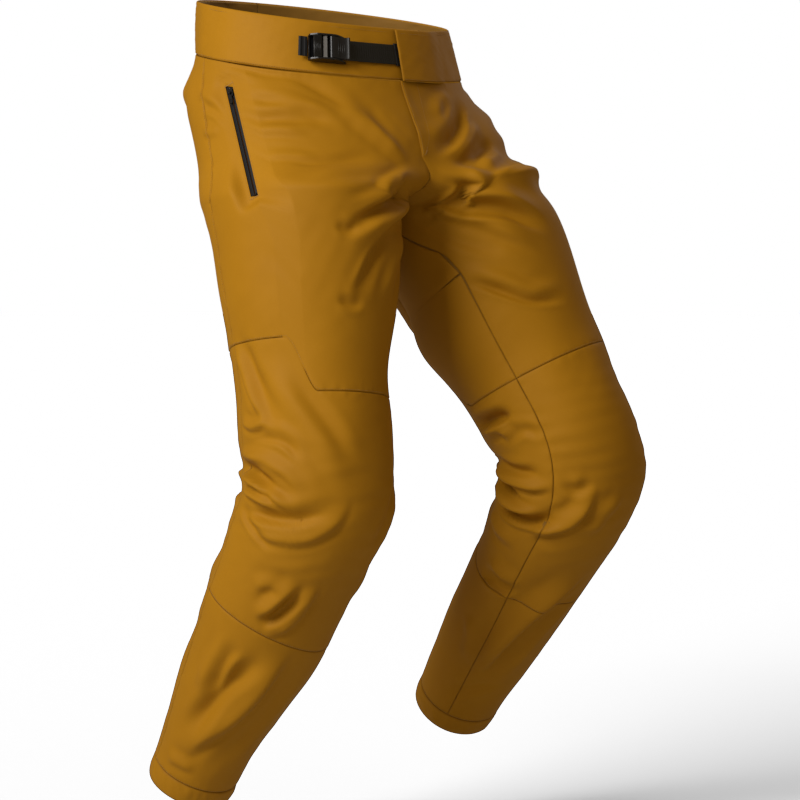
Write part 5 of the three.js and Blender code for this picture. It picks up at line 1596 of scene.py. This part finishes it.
# ---- stitching ----
stitch = {"pitch": 0.0029, "length": 0.0022, "width": 0.00046, "height": 0.00034, "inset": 0.0019, "above": 0.00010}


def onCloth(leg, pt, lift=None, over=False):
    p, t = pt[:, 0], pt[:, 1]
    t = np.where(p > 0, t % 1.0, np.clip(t, 0.0, 1.0))
    here = formPoint(leg, p, t)
    depth = -clothHeight(leg, p, t, here) - stitch["above"] - (lift(p, t) if lift else 0)
    out = formNormal(leg, p, t, here)
    points = here - out * depth[..., None]
    return (layOver(points, p, t) if over else points), out


def besideLine(leg, points, offset):
    centre = route(points)(np.linspace(0, 1, 120))
    return acrossCloth(leg, centre, [offset])[:, 0]


def sewnRows(name, rows, rideIt, **sizes):
    given = {
        "Pitch": stitch["pitch"], "Length": stitch["length"], "Width": stitch["width"], "Height": stitch["height"],
        "Seed": 7}
    piece = rowPiece(name, rows, "thread", **{**given, **sizes})
    rideIt(piece)


def buildStitches(leg):
    label, side, inset = leg["label"], garment["outSeam"], stitch["inset"]
    seam = garment["bandSeam"]
    ring = lambda f, a, b: [(float(f(x)), float(x)) for x in np.linspace(a, b, 90)]
    down = lambda t, a, b: [(a + (b - a) * x, t) for x in np.linspace(0, 1, 40)]
    thigh = [onCloth(leg, besideLine(leg, ring(lambda x: kneeSeam(x) - inset, 0.10, 1.07), 0)),
             onCloth(leg, besideLine(leg, down(side, 0.012, 0.160), inset)),
             onCloth(leg, besideLine(leg, down(side, seam + 0.006, 0.000), inset))]
    knee = [onCloth(leg, besideLine(leg, ring(lambda x: shinSeam(x) - inset, 0.10, 1.07), 0)),
            onCloth(leg, besideLine(leg, down(side, 0.180, 0.486), inset))]
    shin = [onCloth(leg, besideLine(leg, ring(lambda x: garment["cuffSeam"] - inset + 0 * x, 0.09, 1.08), 0)),
            onCloth(leg, besideLine(leg, down(side, 0.503, 0.710), inset))]
    seat = zipSeats[label]
    level, length, wide = zipDent["level"] + stitch["above"], zipSizes["pocketLength"], zipSizes["slotHalf"] + 0.0017
    for x in (-wide, wide):
        y = np.linspace(-0.0050, length + 0.0045, 60)
        thigh.append((inSeat(seat, x + 0 * y, y, level + 0 * y), seat["axes"][:, 2]))
    garage = np.array([
        (-wide, -0.0052), (-wide, -0.0072), (-0.0042, -0.0094), (0, -0.0099), (0.0042, -0.0094), (wide, -0.0072),
        (wide, -0.0052)])
    thigh.append((inSeat(seat, garage[:, 0], garage[:, 1], 0 * garage[:, 0] + level), seat["axes"][:, 2]))
    if leg["side"] > 0:
        curve = smoothLine([
            (seam + 0.004, 0.040), (-0.135, 0.037), (-0.107, 0.027), (-0.083, 0.020), (-0.066, 0.008),
            (-0.062, 0.002)], 60)
        thigh.append(onCloth(leg, curve, flyLift(leg), True))
        edge = np.stack([np.linspace(seam + 0.004, -0.066, 50), np.full(50, 0.0042)], -1)
        thigh.append(onCloth(leg, edge, flyLift(leg), True))
        tack = onCloth(
            leg, np.stack([np.linspace(-0.0700, -0.0640, 8), np.linspace(0.014, 0.008, 8)], -1), flyLift(leg), True)
        sewnRows("fly_bartack", [tack], onTrousers, Pitch=0.0005, Length=0.0011, Width=0.0012, Height=0.0007)
    x = np.linspace(-0.0058, 0.0058, 8)
    tacks = [(inSeat(seat, x, y + 0 * x, level + 0 * x), seat["axes"][:, 2]) for y in (-0.0060, length + 0.0058)]
    sewnRows(label + "_pocket_bartacks", tacks, onTrousers, Pitch=0.0005, Length=0.0009, Width=0.0013, Height=0.0006)
    sewnRows(label + "_thigh_stitches", thigh, onTrousers)
    sewnRows(label + "_knee_stitches", knee, acrossKnee(leg))
    sewnRows(label + "_shin_stitches", shin, onShin(leg))


def buildBandStitches():
    top, seam = -garment["rise"], garment["bandSeam"]
    rows = []
    for a0, a1, lifted in ((-0.999, -0.012, False), (-0.0075, 0.999, True)):
        for p in (top + 0.0045, seam - 0.0024):
            a = np.linspace(a0, a1, 220)
            depth = -(bandLift(a) if lifted else 0 * a) - stitch["above"]
            points = bandPoint(a, p, depth)
            out = points - bandPoint(a, p, depth + 0.004)
            rows.append((points, out / np.linalg.norm(out, axis=1)[:, None]))
    sewnRows("waistband_stitches", rows, onTrousers)
    print("stitches made")


buildZips()
buildFlyCloth()
for leg in legs.values():
    buildPocketBag(leg)
buildStrap()
buildBuckle()
for leg in legs.values():
    buildStitches(leg)
buildBandStitches()


# ---- the two pins stay as they are, in steel ----
for name in ("lever_pin", "pawl_pin"):
    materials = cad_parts[name].data.materials
    materials.clear()
    materials.append(finishes["steel"])
